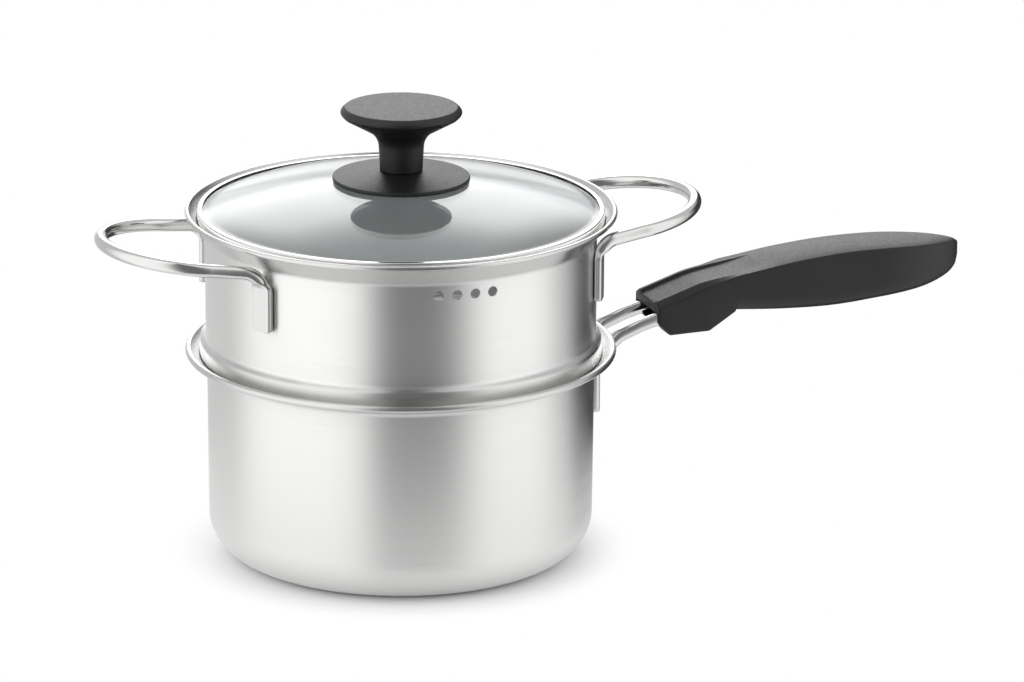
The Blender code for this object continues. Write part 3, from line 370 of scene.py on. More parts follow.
def other_face(corners, wall):
    """The same row of corners a wall further in, its bends tightened or widened to match."""
    spots = [spot for spot, _ in corners]
    runs = [(b - a).normalized() for a, b in zip(spots, spots[1:])]
    inward = [Vector((run.z, 0, -run.x)) for run in runs]
    moved = [(spots[0] + inward[0] * wall, 0.0)]
    for k in range(1, len(spots) - 1):
        turn = runs[k - 1].x * runs[k].z - runs[k - 1].z * runs[k].x
        miter = (inward[k - 1] + inward[k]).normalized()
        spot = spots[k] + miter * wall / miter.dot(inward[k])
        size = corners[k][1]
        moved.append((spot, max(0.0, size + math.copysign(wall, turn)) if size > wall else 0.0))
    moved.append((spots[-1] + inward[-1] * wall, 0.0))
    return moved


print("a corner rounded by 4 mm takes", len(rounded(flat([(0, 0, 0), (10, 0, 4), (10, 10, 0)]))), "points")

# %% [markdown]
# ## Spinning an outline with Geometry Nodes
#
# A lathe's rule is simple: every point of the outline goes round in a circle. The Screw modifier
# could do it too, but a tree states the rule openly and serves every turned piece. It sweeps the
# outline as the profile of a tiny hoop round the axis, so the outline is first shifted by the
# hoop's radius. Merging by distance then closes the poles.


# %% A tree with named inputs
def start_tree(name, inputs):
    """A new Geometry Nodes tree, the identifier of each named input, and the inputs' own outputs."""
    tree = bpy.data.node_groups.new(name, "GeometryNodeTree")
    ids = {}
    for label, kind in {"Geometry": "Geometry", **inputs, "Material": "Material"}.items():
        made = tree.interface.new_socket(label, in_out="INPUT", socket_type="NodeSocket" + kind)
        ids[label] = made.identifier
    tree.interface.new_socket("Geometry", in_out="OUTPUT", socket_type="NodeSocketGeometry")
    return tree, ids, node(tree, "NodeGroupInput").outputs


def end_tree(tree, geometry, material):
    """Every tree ends alike: instances made real, and the material set."""
    real = node(tree, "GeometryNodeRealizeInstances", {0: geometry})
    painted = node(tree, "GeometryNodeSetMaterial", {"Geometry": real, "Material": material})
    node(tree, "NodeGroupOutput", {0: painted})


def keep_result(obj):
    """Keeps what the object's modifiers give as its plain mesh, and removes them."""
    made = bpy.data.meshes.new_from_object(obj.evaluated_get(bpy.context.evaluated_depsgraph_get()))
    obj.modifiers.clear()
    obj.data = made


def run_tree(obj, tree, ids, values):
    """Runs a tree on an object, and keeps the result."""
    modifier = obj.modifiers.new(tree.name, "NODES")
    modifier.node_group = tree
    for label, value in values.items():
        modifier[ids[label]] = value
    keep_result(obj)
    return obj


# %% The tree that spins an outline
HOOP = 1 * MM
MERGE = 0.002 * MM


def spin_tree():
    tree, ids, given = start_tree("spin an outline", {"Steps": "Int"})
    outline = node(tree, "GeometryNodeMeshToCurve", {"Mesh": given["Geometry"]})
    hoop = node(tree, "GeometryNodeCurvePrimitiveCircle", {
        "Resolution": given["Steps"], "Radius": HOOP,
    }, mode="RADIUS")
    swept = node(tree, "GeometryNodeCurveToMesh", {"Curve": hoop, "Profile Curve": outline})
    closed = node(tree, "GeometryNodeMergeByDistance", {"Geometry": swept, "Distance": MERGE})
    end_tree(tree, closed, given["Material"])
    return tree, ids


SPIN, SPIN_IDS = spin_tree()
print("the tree that spins has", len(SPIN.nodes), "nodes")

# %% [markdown]
# ## From a tree to a finished piece
#
# Every piece ends in the same way: doubled points are merged, faces are turned outwards, edges that
# turn sharply stay crisp, the piece is attached to the body it moves with, and the imported node
# that it replaces is hidden.

# %% Finish a piece
SHARP = math.radians(32)


def new_object(name, points, edges):
    mesh = bpy.data.meshes.new(name)
    mesh.from_pydata(points, edges, [])
    obj = bpy.data.objects.new(name, mesh)
    bpy.context.scene.collection.objects.link(obj)
    return obj


def write_clean(shape, mesh):
    """Merges doubled points, turns the faces outwards and writes the shape into a mesh."""
    bmesh.ops.remove_doubles(shape, verts=shape.verts, dist=MERGE)
    bmesh.ops.recalc_face_normals(shape, faces=shape.faces)
    shape.to_mesh(mesh)
    shape.free()


def settle(obj, body, replaced):
    """The last step for every piece."""
    shape = bmesh.new()
    shape.from_mesh(obj.data)
    write_clean(shape, obj.data)
    obj.data.shade_smooth()
    obj.data.set_sharp_from_angle(angle=SHARP)
    obj.data.name = obj.name
    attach(obj, body)
    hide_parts(replaced)
    print(obj.name, "has", len(obj.data.polygons), "faces")


def spun(name, outline, material, steps, closed=False):
    """A turned piece from points in millimetres, as an open outline or as a closed ring."""
    spots = [(p.x * MM - HOOP, -p.z * MM, 0) for p in outline]
    edges = [(k, (k + 1) % len(spots)) for k in range(len(spots) - (0 if closed else 1))]
    obj = new_object(name, spots, edges)
    return run_tree(obj, SPIN, SPIN_IDS, {"Steps": steps, "Material": material})


# %% [markdown]
# ## The saucepan
#
# One disc of 0.6 mm sheet, drawn into a cup. Its wall leans in by 0.6 mm towards a wide rounded
# corner, its top flares out, and the edge is rolled over, which stiffens the rim and hides the cut
# edge. The outline goes up the inside, round the roll and down the outside.

# %% The outline of a drawn sheet with a rolled edge
SHEET = 0.6
ROLL_STEPS = 40


def rolled_outline(crease, crease_round, middle, roll, below):
    """Outline from the axis up the inside, over the roll and down the outside to the axis."""
    along = middle - crease
    slope = math.atan2(along.z, along.x) + math.asin((roll - SHEET) / along.length)
    start = slope + math.pi / 2
    sweep = math.tau - math.acos((roll - SHEET) / roll)
    turns = [start - sweep * k / ROLL_STEPS for k in range(ROLL_STEPS + 1)]
    edge = [middle + Vector((math.cos(turn), 0, math.sin(turn))) * roll for turn in turns]
    outer = [(edge[-1], 0.0), (crease, crease_round)] + flat(below)
    inner = other_face(outer, SHEET)
    inner[0] = (edge[0], 0.0)
    return rounded(inner)[::-1][:-1] + edge + rounded(outer)[1:]


# %% Spin the pan
PAN_FLARE, PAN_FLARE_HEIGHT, PAN_ROLL = 9.7, 6.8, 1.6
PAN_LEAN, PAN_CORNER = 0.6, 19.0  # how far the wall leans in, and the rounding at its foot
PAN_BASE_RADII = (60, 30, 0)
PAN_WALL = PAN[0] - PAN_FLARE
CREASE_ROUND = 2.6
pan_crease = Vector((PAN_WALL, 0, PAN[2] - PAN_FLARE_HEIGHT))
pan_outline = rolled_outline(
    pan_crease, CREASE_ROUND, Vector((PAN[0] - PAN_ROLL, 0, PAN[2] - PAN_ROLL)), PAN_ROLL,
    [(PAN_WALL - PAN_LEAN, 0, PAN_CORNER)] + [(r, 0, 0) for r in PAN_BASE_RADII],
)
settle(spun("pan_shell", pan_outline, SATIN, 192), "pan", "pan_body")

# %% [markdown]
# ## The steamer tier
#
# The tier is drawn in the same way. Low down it swells into a ring that sits on the pan's flare, and
# below that a narrower part dips into the pan. Two extra rows of points cross the wall above and
# below the side holes, so that the holes are cut from one narrow belt and the rest stays even.

# %% Spin the tier
TIER_FLARE, TIER_FLARE_HEIGHT, TIER_ROLL = 9.0, 11.1, 1.15
RING_OVERHANG, RING_HEIGHT, RING_ROUND, RING_HEEL = 2.6, 7.6, 2.2, 1.0
PLUG_DEPTH, PLUG_GAP, PLUG_ROUND = 10.0, 1.8, 5.0
TIER_BASE_RADII = (66, 30, 0)
VENT_DROP, BELT = 5.0, 3.2  # from the crease to the side holes' middles, and half the belt's height
TIER_WALL = TIER[0] - TIER_FLARE
ring_edge = TIER_WALL + RING_OVERHANG
shelf = TIER[1] + PLUG_DEPTH
plug_wall = PAN_WALL - SHEET - PLUG_GAP
tier_crease = Vector((TIER_WALL, 0, TIER[2] - TIER_FLARE_HEIGHT))
vent_level = tier_crease.z - VENT_DROP
tier_outline = rolled_outline(
    tier_crease, CREASE_ROUND, Vector((TIER[0] - TIER_ROLL, 0, TIER[2] - TIER_ROLL)), TIER_ROLL,
    [
        (TIER_WALL, vent_level + BELT, 0), (TIER_WALL, vent_level - BELT, 0),
        (TIER_WALL, shelf + RING_HEIGHT + RING_ROUND, RING_ROUND),
        (ring_edge, shelf + RING_HEIGHT, RING_ROUND), (ring_edge, shelf, RING_HEEL),
        (plug_wall, shelf, RING_HEEL), (plug_wall, TIER[1], PLUG_ROUND),
    ] + [(r, TIER[1], 0) for r in TIER_BASE_RADII],
)
tier = spun("tier_shell", tier_outline, SATIN, 192)
print("shelf at", round(shelf, 2), "mm, side holes at", round(vent_level, 2), "mm")

# %% [markdown]
# ## Punching the steam holes
#
# Steam comes up through round holes in the tier's base: one in the middle and rings of six, twelve
# and eighteen. Four more holes side by side under the flare let it out at the front. A press
# punches them all, so a tree sets out one drill for each hole and takes all of them away from the
# shell at once. The base holes stand on the points of circles, and the side holes on an arc, each
# drill turned to point straight out from the axis.

# %% The tree that drills the holes
DRILL_SIDES = 40
DRILL_DEPTH = 6 * MM  # through the sheet with room to spare
BASE_RINGS = (1, 2, 3)  # each has six holes times its number, at its number of pitches from the axis


def drill_tree():
    tree, ids, given = start_tree("punch steam holes", {
        "Hole radius": "Float", "Hole pitch": "Float", "Base": "Vector",
        "Vent radius": "Float", "Wall radius": "Float", "Vents": "Int", "Start": "Float",
        "Spread": "Float", "Row": "Vector",
    })
    drills = [
        node(tree, "GeometryNodeMeshCylinder", {
            "Vertices": DRILL_SIDES, "Radius": given[name], "Depth": DRILL_DEPTH,
        }) for name in ("Hole radius", "Vent radius")
    ]
    spots = [node(tree, "GeometryNodeMeshLine", {"Count": 1})]
    for nth in BASE_RINGS:
        radius = node(tree, "ShaderNodeMath", {0: given["Hole pitch"], 1: float(nth)}, operation="MULTIPLY")
        spots.append(node(tree, "GeometryNodeMeshCircle", {"Vertices": 6 * nth, "Radius": radius}))
    pattern = node(tree, "GeometryNodeJoinGeometry", {0: spots})
    holes = node(tree, "GeometryNodeInstanceOnPoints", {"Points": pattern, "Instance": drills[0]})
    base = node(tree, "GeometryNodeTransform", {"Geometry": holes, "Translation": given["Base"]})

    arc = node(tree, "GeometryNodeCurveArc", {
        "Resolution": given["Vents"], "Radius": given["Wall radius"], "Start Angle": given["Start"],
        "Sweep Angle": given["Spread"],
    })
    outwards = node(tree, "FunctionNodeAlignRotationToVector", {
        "Vector": node(tree, "GeometryNodeInputPosition"),
    }, axis="Z")
    vents = node(tree, "GeometryNodeInstanceOnPoints", {
        "Points": arc, "Instance": drills[1], "Rotation": outwards,
    })
    row = node(tree, "GeometryNodeTransform", {"Geometry": vents, "Translation": given["Row"]})
    tools = node(tree, "GeometryNodeJoinGeometry", {0: [base, row]})
    tools = node(tree, "GeometryNodeRealizeInstances", {0: tools})
    punched = node(tree, "GeometryNodeMeshBoolean", {
        0: given["Geometry"], 1: tools,
    }, operation="DIFFERENCE", solver="EXACT")
    end_tree(tree, punched, given["Material"])
    return tree, ids


DRILL, DRILL_IDS = drill_tree()
print("the tree that punches has", len(DRILL.nodes), "nodes")

# %% Punch the tier
HOLE_RADIUS, HOLE_PITCH = 2.75, 19
VENTS, VENT_RADIUS, VENT_PITCH = 4, 2.3, 8.3
spread = (VENTS - 1) * VENT_PITCH / TIER_WALL
run_tree(tier, DRILL, DRILL_IDS, {
    "Hole radius": HOLE_RADIUS * MM, "Hole pitch": HOLE_PITCH * MM,
    "Base": (0, 0, (TIER[1] + SHEET / 2) * MM), "Vent radius": VENT_RADIUS * MM,
    "Wall radius": (TIER_WALL - SHEET / 2) * MM, "Vents": VENTS, "Start": -math.pi / 2 - spread / 2,
    "Spread": spread, "Row": (0, 0, vent_level * MM), "Material": SATIN,
})
settle(tier, "steamer", "steamer_body")

# %% [markdown]
# ## Bent rod
#
# Each handle is one rod that a bender pushes round its corners, so it is a circle swept along a
# route, by a short tree. Where a rod is welded on, a press has flattened it: `press` widens the
# round section and flattens it in front and behind, and fades out over 3.2 mm above. That is short
# enough to leave a visible edge over each pad, as in the photograph.

# %% Sweep a rod
ROD_RADIUS = 3.0
ROD_SIDES = 40


def rod_tree():
    tree, ids, given = start_tree("sweep a rod", {"Radius": "Float", "Sides": "Int"})
    line = node(tree, "GeometryNodeMeshToCurve", {"Mesh": given["Geometry"]})
    circle = node(tree, "GeometryNodeCurvePrimitiveCircle", {
        "Resolution": given["Sides"], "Radius": given["Radius"],
    }, mode="RADIUS")
    swept = node(tree, "GeometryNodeCurveToMesh", {"Curve": line, "Profile Curve": circle, "Fill Caps": True})
    end_tree(tree, swept, given["Material"])
    return tree, ids


ROD, ROD_IDS = rod_tree()


def bent_rod(name, points):
    line = new_object(name, [p * MM for p in points], [(k, k + 1) for k in range(len(points) - 1)])
    return run_tree(line, ROD, ROD_IDS, {"Radius": ROD_RADIUS * MM, "Sides": ROD_SIDES, "Material": POLISHED})


print("the tree that sweeps has", len(ROD.nodes), "nodes")

# %% Press a rod's end into a pad
FADE = 3.2  # length over which the rod goes from pressed to round
CORNER = 1.8  # rounding of a pad's lower corners
PAD_ROWS, PAD_STEP = 8, 1.0  # rows of points round those corners, and their spacing above
GAP = 0.3  # stands for a weld or a seat


def pad_rows(foot, low, high):
    """Points up a pad, close together where its lower end is rounded."""
    rows = [low + CORNER * (1 - math.cos(math.pi / 2 * k / PAD_ROWS)) for k in range(PAD_ROWS + 1)]
    count = math.ceil((high - rows[-1]) / PAD_STEP)
    rows += [rows[-1] + (high - rows[-1]) * k / count for k in range(1, count + 1)]
    return [Vector((foot.x, foot.y, z)) for z in rows]


def press(obj, foot, top, length, thickness, width):
    """Flattens the rod over a foot, which faces away from the Z axis, up to a level."""
    facing = foot.normalized()
    across = Vector((-facing.y, facing.x, 0))
    marks = obj.data.attributes.get("pressed") or obj.data.attributes.new("pressed", "FLOAT", "POINT")
    for vert in obj.data.vertices:
        at = vert.co / MM
        out, side = (at - foot).dot(facing), at.dot(across)
        if abs(side) > 2 * ROD_RADIUS or abs(out) > 2 * ROD_RADIUS:
            continue
        share = min(1.0, max(0.0, (top + FADE - at.z) / FADE))
        share = share * share * (3 - 2 * share)
        marks.data[vert.index].value = share
        pressed = max(-thickness / 2, min(thickness / 2, out))
        wide = 1 + (width / (2 * ROD_RADIUS) - 1) * share
        short = min(1.0, max(0.0, 1 - (at.z - top + length) / CORNER))
        wide *= 1 - (1 - math.sqrt(1 - short * short)) * 2 * CORNER / width
        at += facing * (pressed - out) * share + across * side * (wide - 1)
        vert.co = at * MM


# %% [markdown]
# ## The tier's loop handles
#
# A leg rises from each pad, bends outwards just under the flare and slopes gently up to a
# half-round end. Left and right are the same part, turned by half a circle.

# %% Bend the loop handles
LOOP_ANGLE, LOOP_TILT, LOOP_BEND = math.radians(28.4), math.radians(7.0), 9.0
LOOP_THICK, LOOP_WIDE, LOOP_LONG = 3.2, 10.6, 19.6
LOOP_PAD_DROP, LOOP_DROP = 7.4, 1.1  # from the flare's crease to a pad's top and to the bend
LOOP_DRAW_IN = 3.03  # how far each leg leans in from its pad to the round end
LOOP_TOP = tier_crease.z - LOOP_PAD_DROP
FINE = math.radians(4)
HALF_ROUND_STEPS = 40


def half_round(start, slope):
    """A half-round bend from a point at -Y to its mirror image at +Y."""
    count = HALF_ROUND_STEPS
    turns = [-math.pi / 2 + math.pi * k / count for k in range(1, count)]
    outs = [-start.y * math.cos(turn) for turn in turns]
    return [
        Vector((start.x + out, -start.y * math.sin(turn), start.z + out * math.tan(slope)))
        for out, turn in zip(outs, turns)
    ]


def loop_handle(name, reach, turned):
    stand = TIER_WALL + GAP + LOOP_THICK / 2
    legs, feet = [], []
    for side in (-1, 1):
        foot = Vector((stand * math.cos(LOOP_ANGLE), side * stand * math.sin(LOOP_ANGLE), 0))
        aside = abs(foot.y) - LOOP_DRAW_IN
        corner = foot + Vector((0, 0, tier_crease.z - LOOP_DROP))
        end_x = reach - ROD_RADIUS - aside
        end = Vector((end_x, side * aside, corner.z + (end_x - foot.x) * math.tan(LOOP_TILT)))
        rows = pad_rows(foot, LOOP_TOP - LOOP_LONG, corner.z - LOOP_BEND)
        legs.append(rounded([(p, 0) for p in rows] + [(corner, LOOP_BEND), (end, 0)], FINE))
        feet.append(foot)
    obj = bent_rod(name, legs[0] + half_round(legs[0][-1], LOOP_TILT) + legs[1][::-1])
    for foot in feet:
        press(obj, foot, LOOP_TOP, LOOP_LONG, LOOP_THICK, LOOP_WIDE)
    obj.data.transform(Matrix.Rotation(turned, 4, "Z"))
    return obj


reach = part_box("steamer_handle_right")[1].x / MM
for side, turned in (("right", 0.0), ("left", math.pi)):
    settle(loop_handle("loop_" + side, reach, turned), "steamer", "steamer_handle_" + side)

# %% [markdown]
# ## The long handle's rods
#
# One rod is bent back on itself inside the grip, and its two ends come down to the pan's wall. It
# rises steeply past the rim, then runs on ever more gently, so it is drawn as four straight
# stretches with wide bends between them.

# %% The rods' route
FRAME_HALF, FRAME_THICK, FRAME_WIDE, FRAME_LONG = 10.5, 4.4, 8.2, 19.0
FRAME_PAD_DROP, FRAME_BEND_RISE, FRAME_BEND = 11.6, 5.0, 10.0
PAD_ROWS_END = 1.0  # the close rows stop this far below the pad's top
FRAME_TOP = pan_crease.z - FRAME_PAD_DROP
UPPER_SLOPE = math.radians(10.3)
STRETCHES = (  # level length, slope and bend at the end
    (11.6, math.radians(41.0), 10.0), (10.0, math.radians(21.3), 34.0),
    (14.0, math.radians(15.6), 34.0), (74.0, UPPER_SLOPE, 0.0),
)


def rod_corners():
    """(x, z, bend) of the rods, from the first bend above the pads to the last."""
    x = math.sqrt((PAN_WALL + GAP + FRAME_THICK / 2) ** 2 - FRAME_HALF ** 2)
    z = FRAME_TOP + FRAME_BEND_RISE
    corners = [(x, z, FRAME_BEND)]
    for run, slope, bend in STRETCHES:
        x += run
        z += run * math.tan(slope)
        corners.append((x, z, bend))
    return corners


CORNERS = rod_corners()


def rod_height(x):
    """Height of the rods' middle at this distance from the axis."""
    for (x0, z0, _), (x1, z1, _) in zip(CORNERS, CORNERS[1:]):
        if x0 < x <= x1:
            return z0 + (z1 - z0) * (x - x0) / (x1 - x0)
    return CORNERS[-1][1] + (x - CORNERS[-1][0]) * math.tan(UPPER_SLOPE)


print("the rods' corners:", [(round(x, 1), round(z, 1)) for x, z, _ in CORNERS])


# %% Bend the long handle's rod
def handle_rod():
    rows = pad_rows(Vector((CORNERS[0][0], 0, 0)), FRAME_TOP - FRAME_LONG, FRAME_TOP - PAD_ROWS_END)
    run = rounded([(p, 0) for p in rows] + [(Vector((x, 0, z)), bend) for x, z, bend in CORNERS], FINE)
    aside = Vector((0, FRAME_HALF, 0))
    near, far = [p - aside for p in run], [p + aside for p in run]
    obj = bent_rod("handle_rod", near + half_round(near[-1], UPPER_SLOPE) + far[::-1])
    for side in (-1, 1):
        foot = Vector((CORNERS[0][0], side * FRAME_HALF, 0))
        press(obj, foot, FRAME_TOP, FRAME_LONG, FRAME_THICK, FRAME_WIDE)
    return obj


settle(handle_rod(), "pan", "pan_handle_frame")

# %% [markdown]
# ## The grip's cross-sections
#
# The grip is one moulding whose section changes all along: a deep block at the mouth that holds the
# rods, two thin ribs on top that fade out, a crowned palm, and a nose that comes to a blunt point.
# It is made as a loft. The lines below run along the grip, as shares of its length and millimetres.
# The ridge, the block and the belly are heights over the rods' middle at the mouth, and the other
# three are measured from the ridge. The block is straight from point to point, and a smooth curve
# runs through the points of every other line.

# %% The grip's lines
GRIP_LENGTH, GRIP_NOSE, GRIP_PALM = 152.0, 47.0, 29.0
RIDGE_LINE = (
    (0.0, 8.5), (0.084, 12.7), (0.145, 15.6), (0.21, 17.3), (0.31, 19.4),
    (0.434, 22.1), (0.59, 24.1), (0.74, 24.3), (0.89, 23.2), (0.95, 22.4), (0.985, 21.5), (1.0, 20.2),
)
BLOCK_LINE = ((0.0, -1.3), (0.036, -7.0), (0.163, -6.6), (0.246, 1.4))
BELLY_LINE = (
    (0.256, 0.9), (0.41, -0.9), (0.57, -1.5), (0.73, 0.2), (0.84, 2.0),
    (0.90, 3.8), (0.95, 6.2), (0.975, 8.1), (0.99, 10.0), (0.997, 11.9), (1.0, 14.0),
)
EDGE_LINE = ((0.0, 2.0), (0.09, 2.7), (0.19, 1.4), (0.26, 0.0))  # down to the outer edges
CHANNEL_LINE = ((0.0, 1.3), (0.16, 1.2), (0.256, 0.9), (0.31, 0.45), (0.35, 0.0))  # down to its floor
CROWN_LINE = ((0.30, 0.0), (0.45, 1.2), (0.9, 1.2), (1.0, 0.6))  # up to the middle of the palm


def through(points, s):
    """A smooth curve through (place, value) points, read at s."""
    if s <= points[0][0]:
        return points[0][1]
    if s >= points[-1][0]:
        return points[-1][1]
    slopes = [(v1 - v0) / (s1 - s0) for (s0, v0), (s1, v1) in zip(points, points[1:])]
    slopes = [slopes[0], *[
        (after[1] - before[1]) / (after[0] - before[0]) for before, after in zip(points, points[2:])
    ], slopes[-1]]
    k = max(n for n, (place, _) in enumerate(points) if place <= s)
    (s0, v0), (s1, v1) = points[k], points[k + 1]
    t, m0, m1 = (s - s0) / (s1 - s0), slopes[k] * (s1 - s0), slopes[k + 1] * (s1 - s0)
    return (
        (2 * t**3 - 3 * t**2 + 1) * v0 + (t**3 - 2 * t**2 + t) * m0
        + (3 * t**2 - 2 * t**3) * v1 + (t**3 - t**2) * m1
    )


print("the ridge at a third of the grip:", round(through(RIDGE_LINE, 1 / 3), 1), "mm")

# %% [markdown]
# Each section goes from the middle of the top down one side to the middle of the belly, and is
# mirrored. Its corners are softened by the same number of points in every section, because a loft
# joins point to point. A quadratic curve with the corner as its handle does this at any angle.

# %% One section
SLOT_HALF = FRAME_HALF + ROD_RADIUS + GAP
MOUTH_WALL, MOUTH_SHARE = 1.2, 0.3  # plastic beside the slot, and how far along it keeps that width
NOSE_POWER, NOSE_ROUND, TIP_HALF = 2.6, 0.7, 1.1  # how late and how bluntly the nose closes, and its end
SOFT_POINTS, SOFT_LIMIT = 5, 0.48  # a curve takes no more than this share of a side


def softened(corners):
    """(y, z, cut) corners as points: each cut is how far back a corner's curve starts."""
    spots = [Vector((y, z)) for y, z, _ in corners]
    points = [spots[0]]
    for k in range(1, len(spots) - 1):
        corner = spots[k]
        to_last, to_next = spots[k - 1] - corner, spots[k + 1] - corner
        start = corner + to_last * min(SOFT_LIMIT, corners[k][2] / max(to_last.length, 1e-6))
        end = corner + to_next * min(SOFT_LIMIT, corners[k][2] / max(to_next.length, 1e-6))
        for n in range(SOFT_POINTS):
            t = n / (SOFT_POINTS - 1)
            points.append(start * (1 - t) ** 2 + corner * (2 * t * (1 - t)) + end * t ** 2)
    points.append(spots[-1])
    return points


def half_width(share):
    """Full at the mouth, a little less in the palm, then drawn in to a blunt end."""
    mouth, nose_start = SLOT_HALF + MOUTH_WALL, 1 - GRIP_NOSE / GRIP_LENGTH
    if share <= nose_start:
        return through(((0.0, mouth), (MOUTH_SHARE, mouth), (nose_start, GRIP_PALM / 2)), share)
    ahead = (share - nose_start) / (1 - nose_start)
    return max(GRIP_PALM / 2 * (1 - ahead ** NOSE_POWER) ** NOSE_ROUND, TIP_HALF)


def underside(share):
    """The block under the rods has straight stretches, and the belly behind it is a smooth curve."""
    for (s0, v0), (s1, v1) in zip(BLOCK_LINE, BLOCK_LINE[1:]):
        if share <= s1:
            return v0 + (v1 - v0) * (share - s0) / (s1 - s0)
    return through(BELLY_LINE, share)


# %% Its corners
BLOCK_ROUND, BELLY_ROUND = 1.2, 7.0
RIB_INSET, RIB_WIDTH, RIB_LEAN = 3.5, 1.9, 0.5
EDGE_IN, EDGE_LAND = 0.3, 0.6  # the top edge stands in by this, and the side starts this far down


def grip_section(share):
    """One section of the grip. In the narrow nose its sizes are held to shares of the half width."""
    half, ridge, low = half_width(share), through(RIDGE_LINE, share), underside(share)
    edge = ridge - through(EDGE_LINE, share)
    crown, floor = through(CROWN_LINE, share), through(CHANNEL_LINE, share)
    wish = BLOCK_ROUND if share <= BLOCK_LINE[-1][0] else BELLY_ROUND
    belly = min(wish, 0.8 * half, 0.6 * (edge - low))
    rib = max(half - RIB_INSET * min(1.0, half / (GRIP_PALM / 2)), 0.3 * half)
    rib_in = max(rib - RIB_WIDTH, 0.25 * half)
    rib_foot = max(rib_in - RIB_LEAN, 0.2 * half)

    def top(y):
        return ridge + crown * (1 - (y / half) ** 2)

    corners = [(y, top(y) - floor, 9.0) for y in (0.0, 0.3 * rib_foot, 0.7 * rib_foot)]
    corners += [(rib_foot, top(rib_foot) - floor, 0.35), (rib_in, top(rib_in), 0.35), (rib, top(rib), 0.4)]
    corners += [(half - min(EDGE_IN, 0.1 * half), edge, 0.5), (half, edge - EDGE_LAND, 0.5)]
    corners += [(half, low, belly), (0.0, low, 0)]
    return softened(corners)


print("a section of the palm has", len(grip_section(0.5)), "points on each side")

# %% [markdown]
# ## Lofting the grip
#
# Rings of those points are joined with faces from the mouth to the tip. They stand closer at both
# ends, and the first few are drawn in a little, which rounds the mouth's edge as a mould does. Then
# the pocket for the bent rod, the notch between its legs and the screw's bores are cut out with
# Booleans, which is how the tool's steel cores shape them in the mould.

# %% Loft, prism and cut
GRIP_STANDOFF = 21.6  # from the pan's rim to the mouth
MOUTH = (PAN[0] + GRIP_STANDOFF, rod_height(PAN[0] + GRIP_STANDOFF))
DRUM_SIDES = 48


def loft(name, rings, material):
    """A closed body through rings of the same number of points."""
    shape = bmesh.new()
    rows = [[shape.verts.new(p * MM) for p in ring] for ring in rings]
    for near, far in zip(rows, rows[1:]):
        for k in range(len(near)):
            j = (k + 1) % len(near)
            shape.faces.new((near[k], near[j], far[j], far[k]))
    shape.faces.new(rows[0])
    shape.faces.new(rows[-1])
    obj = new_object(name, [], [])
    write_clean(shape, obj.data)
    if material:
        obj.data.materials.append(material)
    return obj


def prism(section, shifts):
    """A tool: one section at two places along a line."""
    return loft("tool", [[p + Vector(shift) for p in section] for shift in shifts], None)


def cut(obj, tool):
    """Takes a tool's shape out of an object, and the tool away."""
    modifier = obj.modifiers.new("cut", "BOOLEAN")
    modifier.operation, modifier.solver, modifier.object = "DIFFERENCE", "EXACT", tool
    keep_result(obj)
    bpy.data.objects.remove(tool, do_unlink=True)


def drum(x, low, high, radius):
    """A round tool along Z."""
    turns = [math.tau * k / DRUM_SIDES for k in range(DRUM_SIDES)]
    ring = [Vector((x + radius * math.cos(turn), radius * math.sin(turn), 0)) for turn in turns]
    return prism(ring, ((0, 0, low), (0, 0, high)))


# %% Loft the grip
MOUTH_ROUND = ((0.0, 0.45), (0.12, 0.18), (0.45, 0.0))  # distance in, and how far it is drawn in
LENGTH_START, LENGTH_RINGS = 1.0, 150  # even rings from here
TIP_LENGTH, TIP_RINGS = 4.0, 14  # and closer ones over the tip


def grip_ring(place, drawn_in):
    share = place / GRIP_LENGTH
    side = grip_section(share)
    middle = Vector((0, (side[0].y + side[-1].y) / 2))
    side = [middle + (p - middle) * (1 - drawn_in / (p - middle).length) for p in side]
    ring = side + [Vector((-p.x, p.y)) for p in side[-2:0:-1]]
    return [Vector((MOUTH[0] + place, p.x, MOUTH[1] + p.y)) for p in ring]


def grip_places():
    """(distance from the mouth, how far the section is drawn in there)"""
    blend = GRIP_LENGTH - TIP_LENGTH
    run = blend - LENGTH_START
    turns = [math.pi / 2 * k / TIP_RINGS for k in range(1, TIP_RINGS + 1)]
    places = list(MOUTH_ROUND)
    places += [(LENGTH_START + run * k / LENGTH_RINGS, 0.0) for k in range(LENGTH_RINGS + 1)]
    return places + [(blend + TIP_LENGTH * math.sin(turn), 0.0) for turn in turns]


grip = loft("grip", [grip_ring(place, drawn_in) for place, drawn_in in grip_places()], PHENOLIC)
print("the grip before its cuts has", len(grip.data.polygons), "faces")

# %% Cut the pocket, the notch and the bores
SCREW_SETBACK, SCREW_SUNK, SCREW_CLEARANCE = 16.0, 1.2, 0.5
HEAD_HEIGHT, GRIP_HEAD, GRIP_SHANK = 2.4, 3.8, 2.0  # height of a screw's head, and radii of this one
CUT_LEAD, BORE_OVERLAP = 4, 2  # cuts start before the mouth or the underside, and the bores overlap
NOTCH_HALF, NOTCH_LONG, NOTCH_DEEP = 6.5, 6.5, 12

SCREW_PLACE = MOUTH[0] + SCREW_SETBACK
BLOCK_LOW = MOUTH[1] + underside(SCREW_SETBACK / GRIP_LENGTH)
SEAT = BLOCK_LOW + SCREW_SUNK + HEAD_HEIGHT  # where the screw's head sits

pocket_ends = [MOUTH[0] - CUT_LEAD] + [x for x, _, _ in CORNERS if x > MOUTH[0]]
pocket_ends.append(CORNERS[-1][0] + FRAME_HALF + ROD_RADIUS + GAP)
reach_up = Vector((0, 0, ROD_RADIUS + GAP))
rings = []
for x in pocket_ends:
    near, far = Vector((x, -SLOT_HALF, rod_height(x))), Vector((x, SLOT_HALF, rod_height(x)))
    rings.append([near - reach_up, far - reach_up, far + reach_up, near + reach_up])
cut(grip, loft("tool", rings, None))

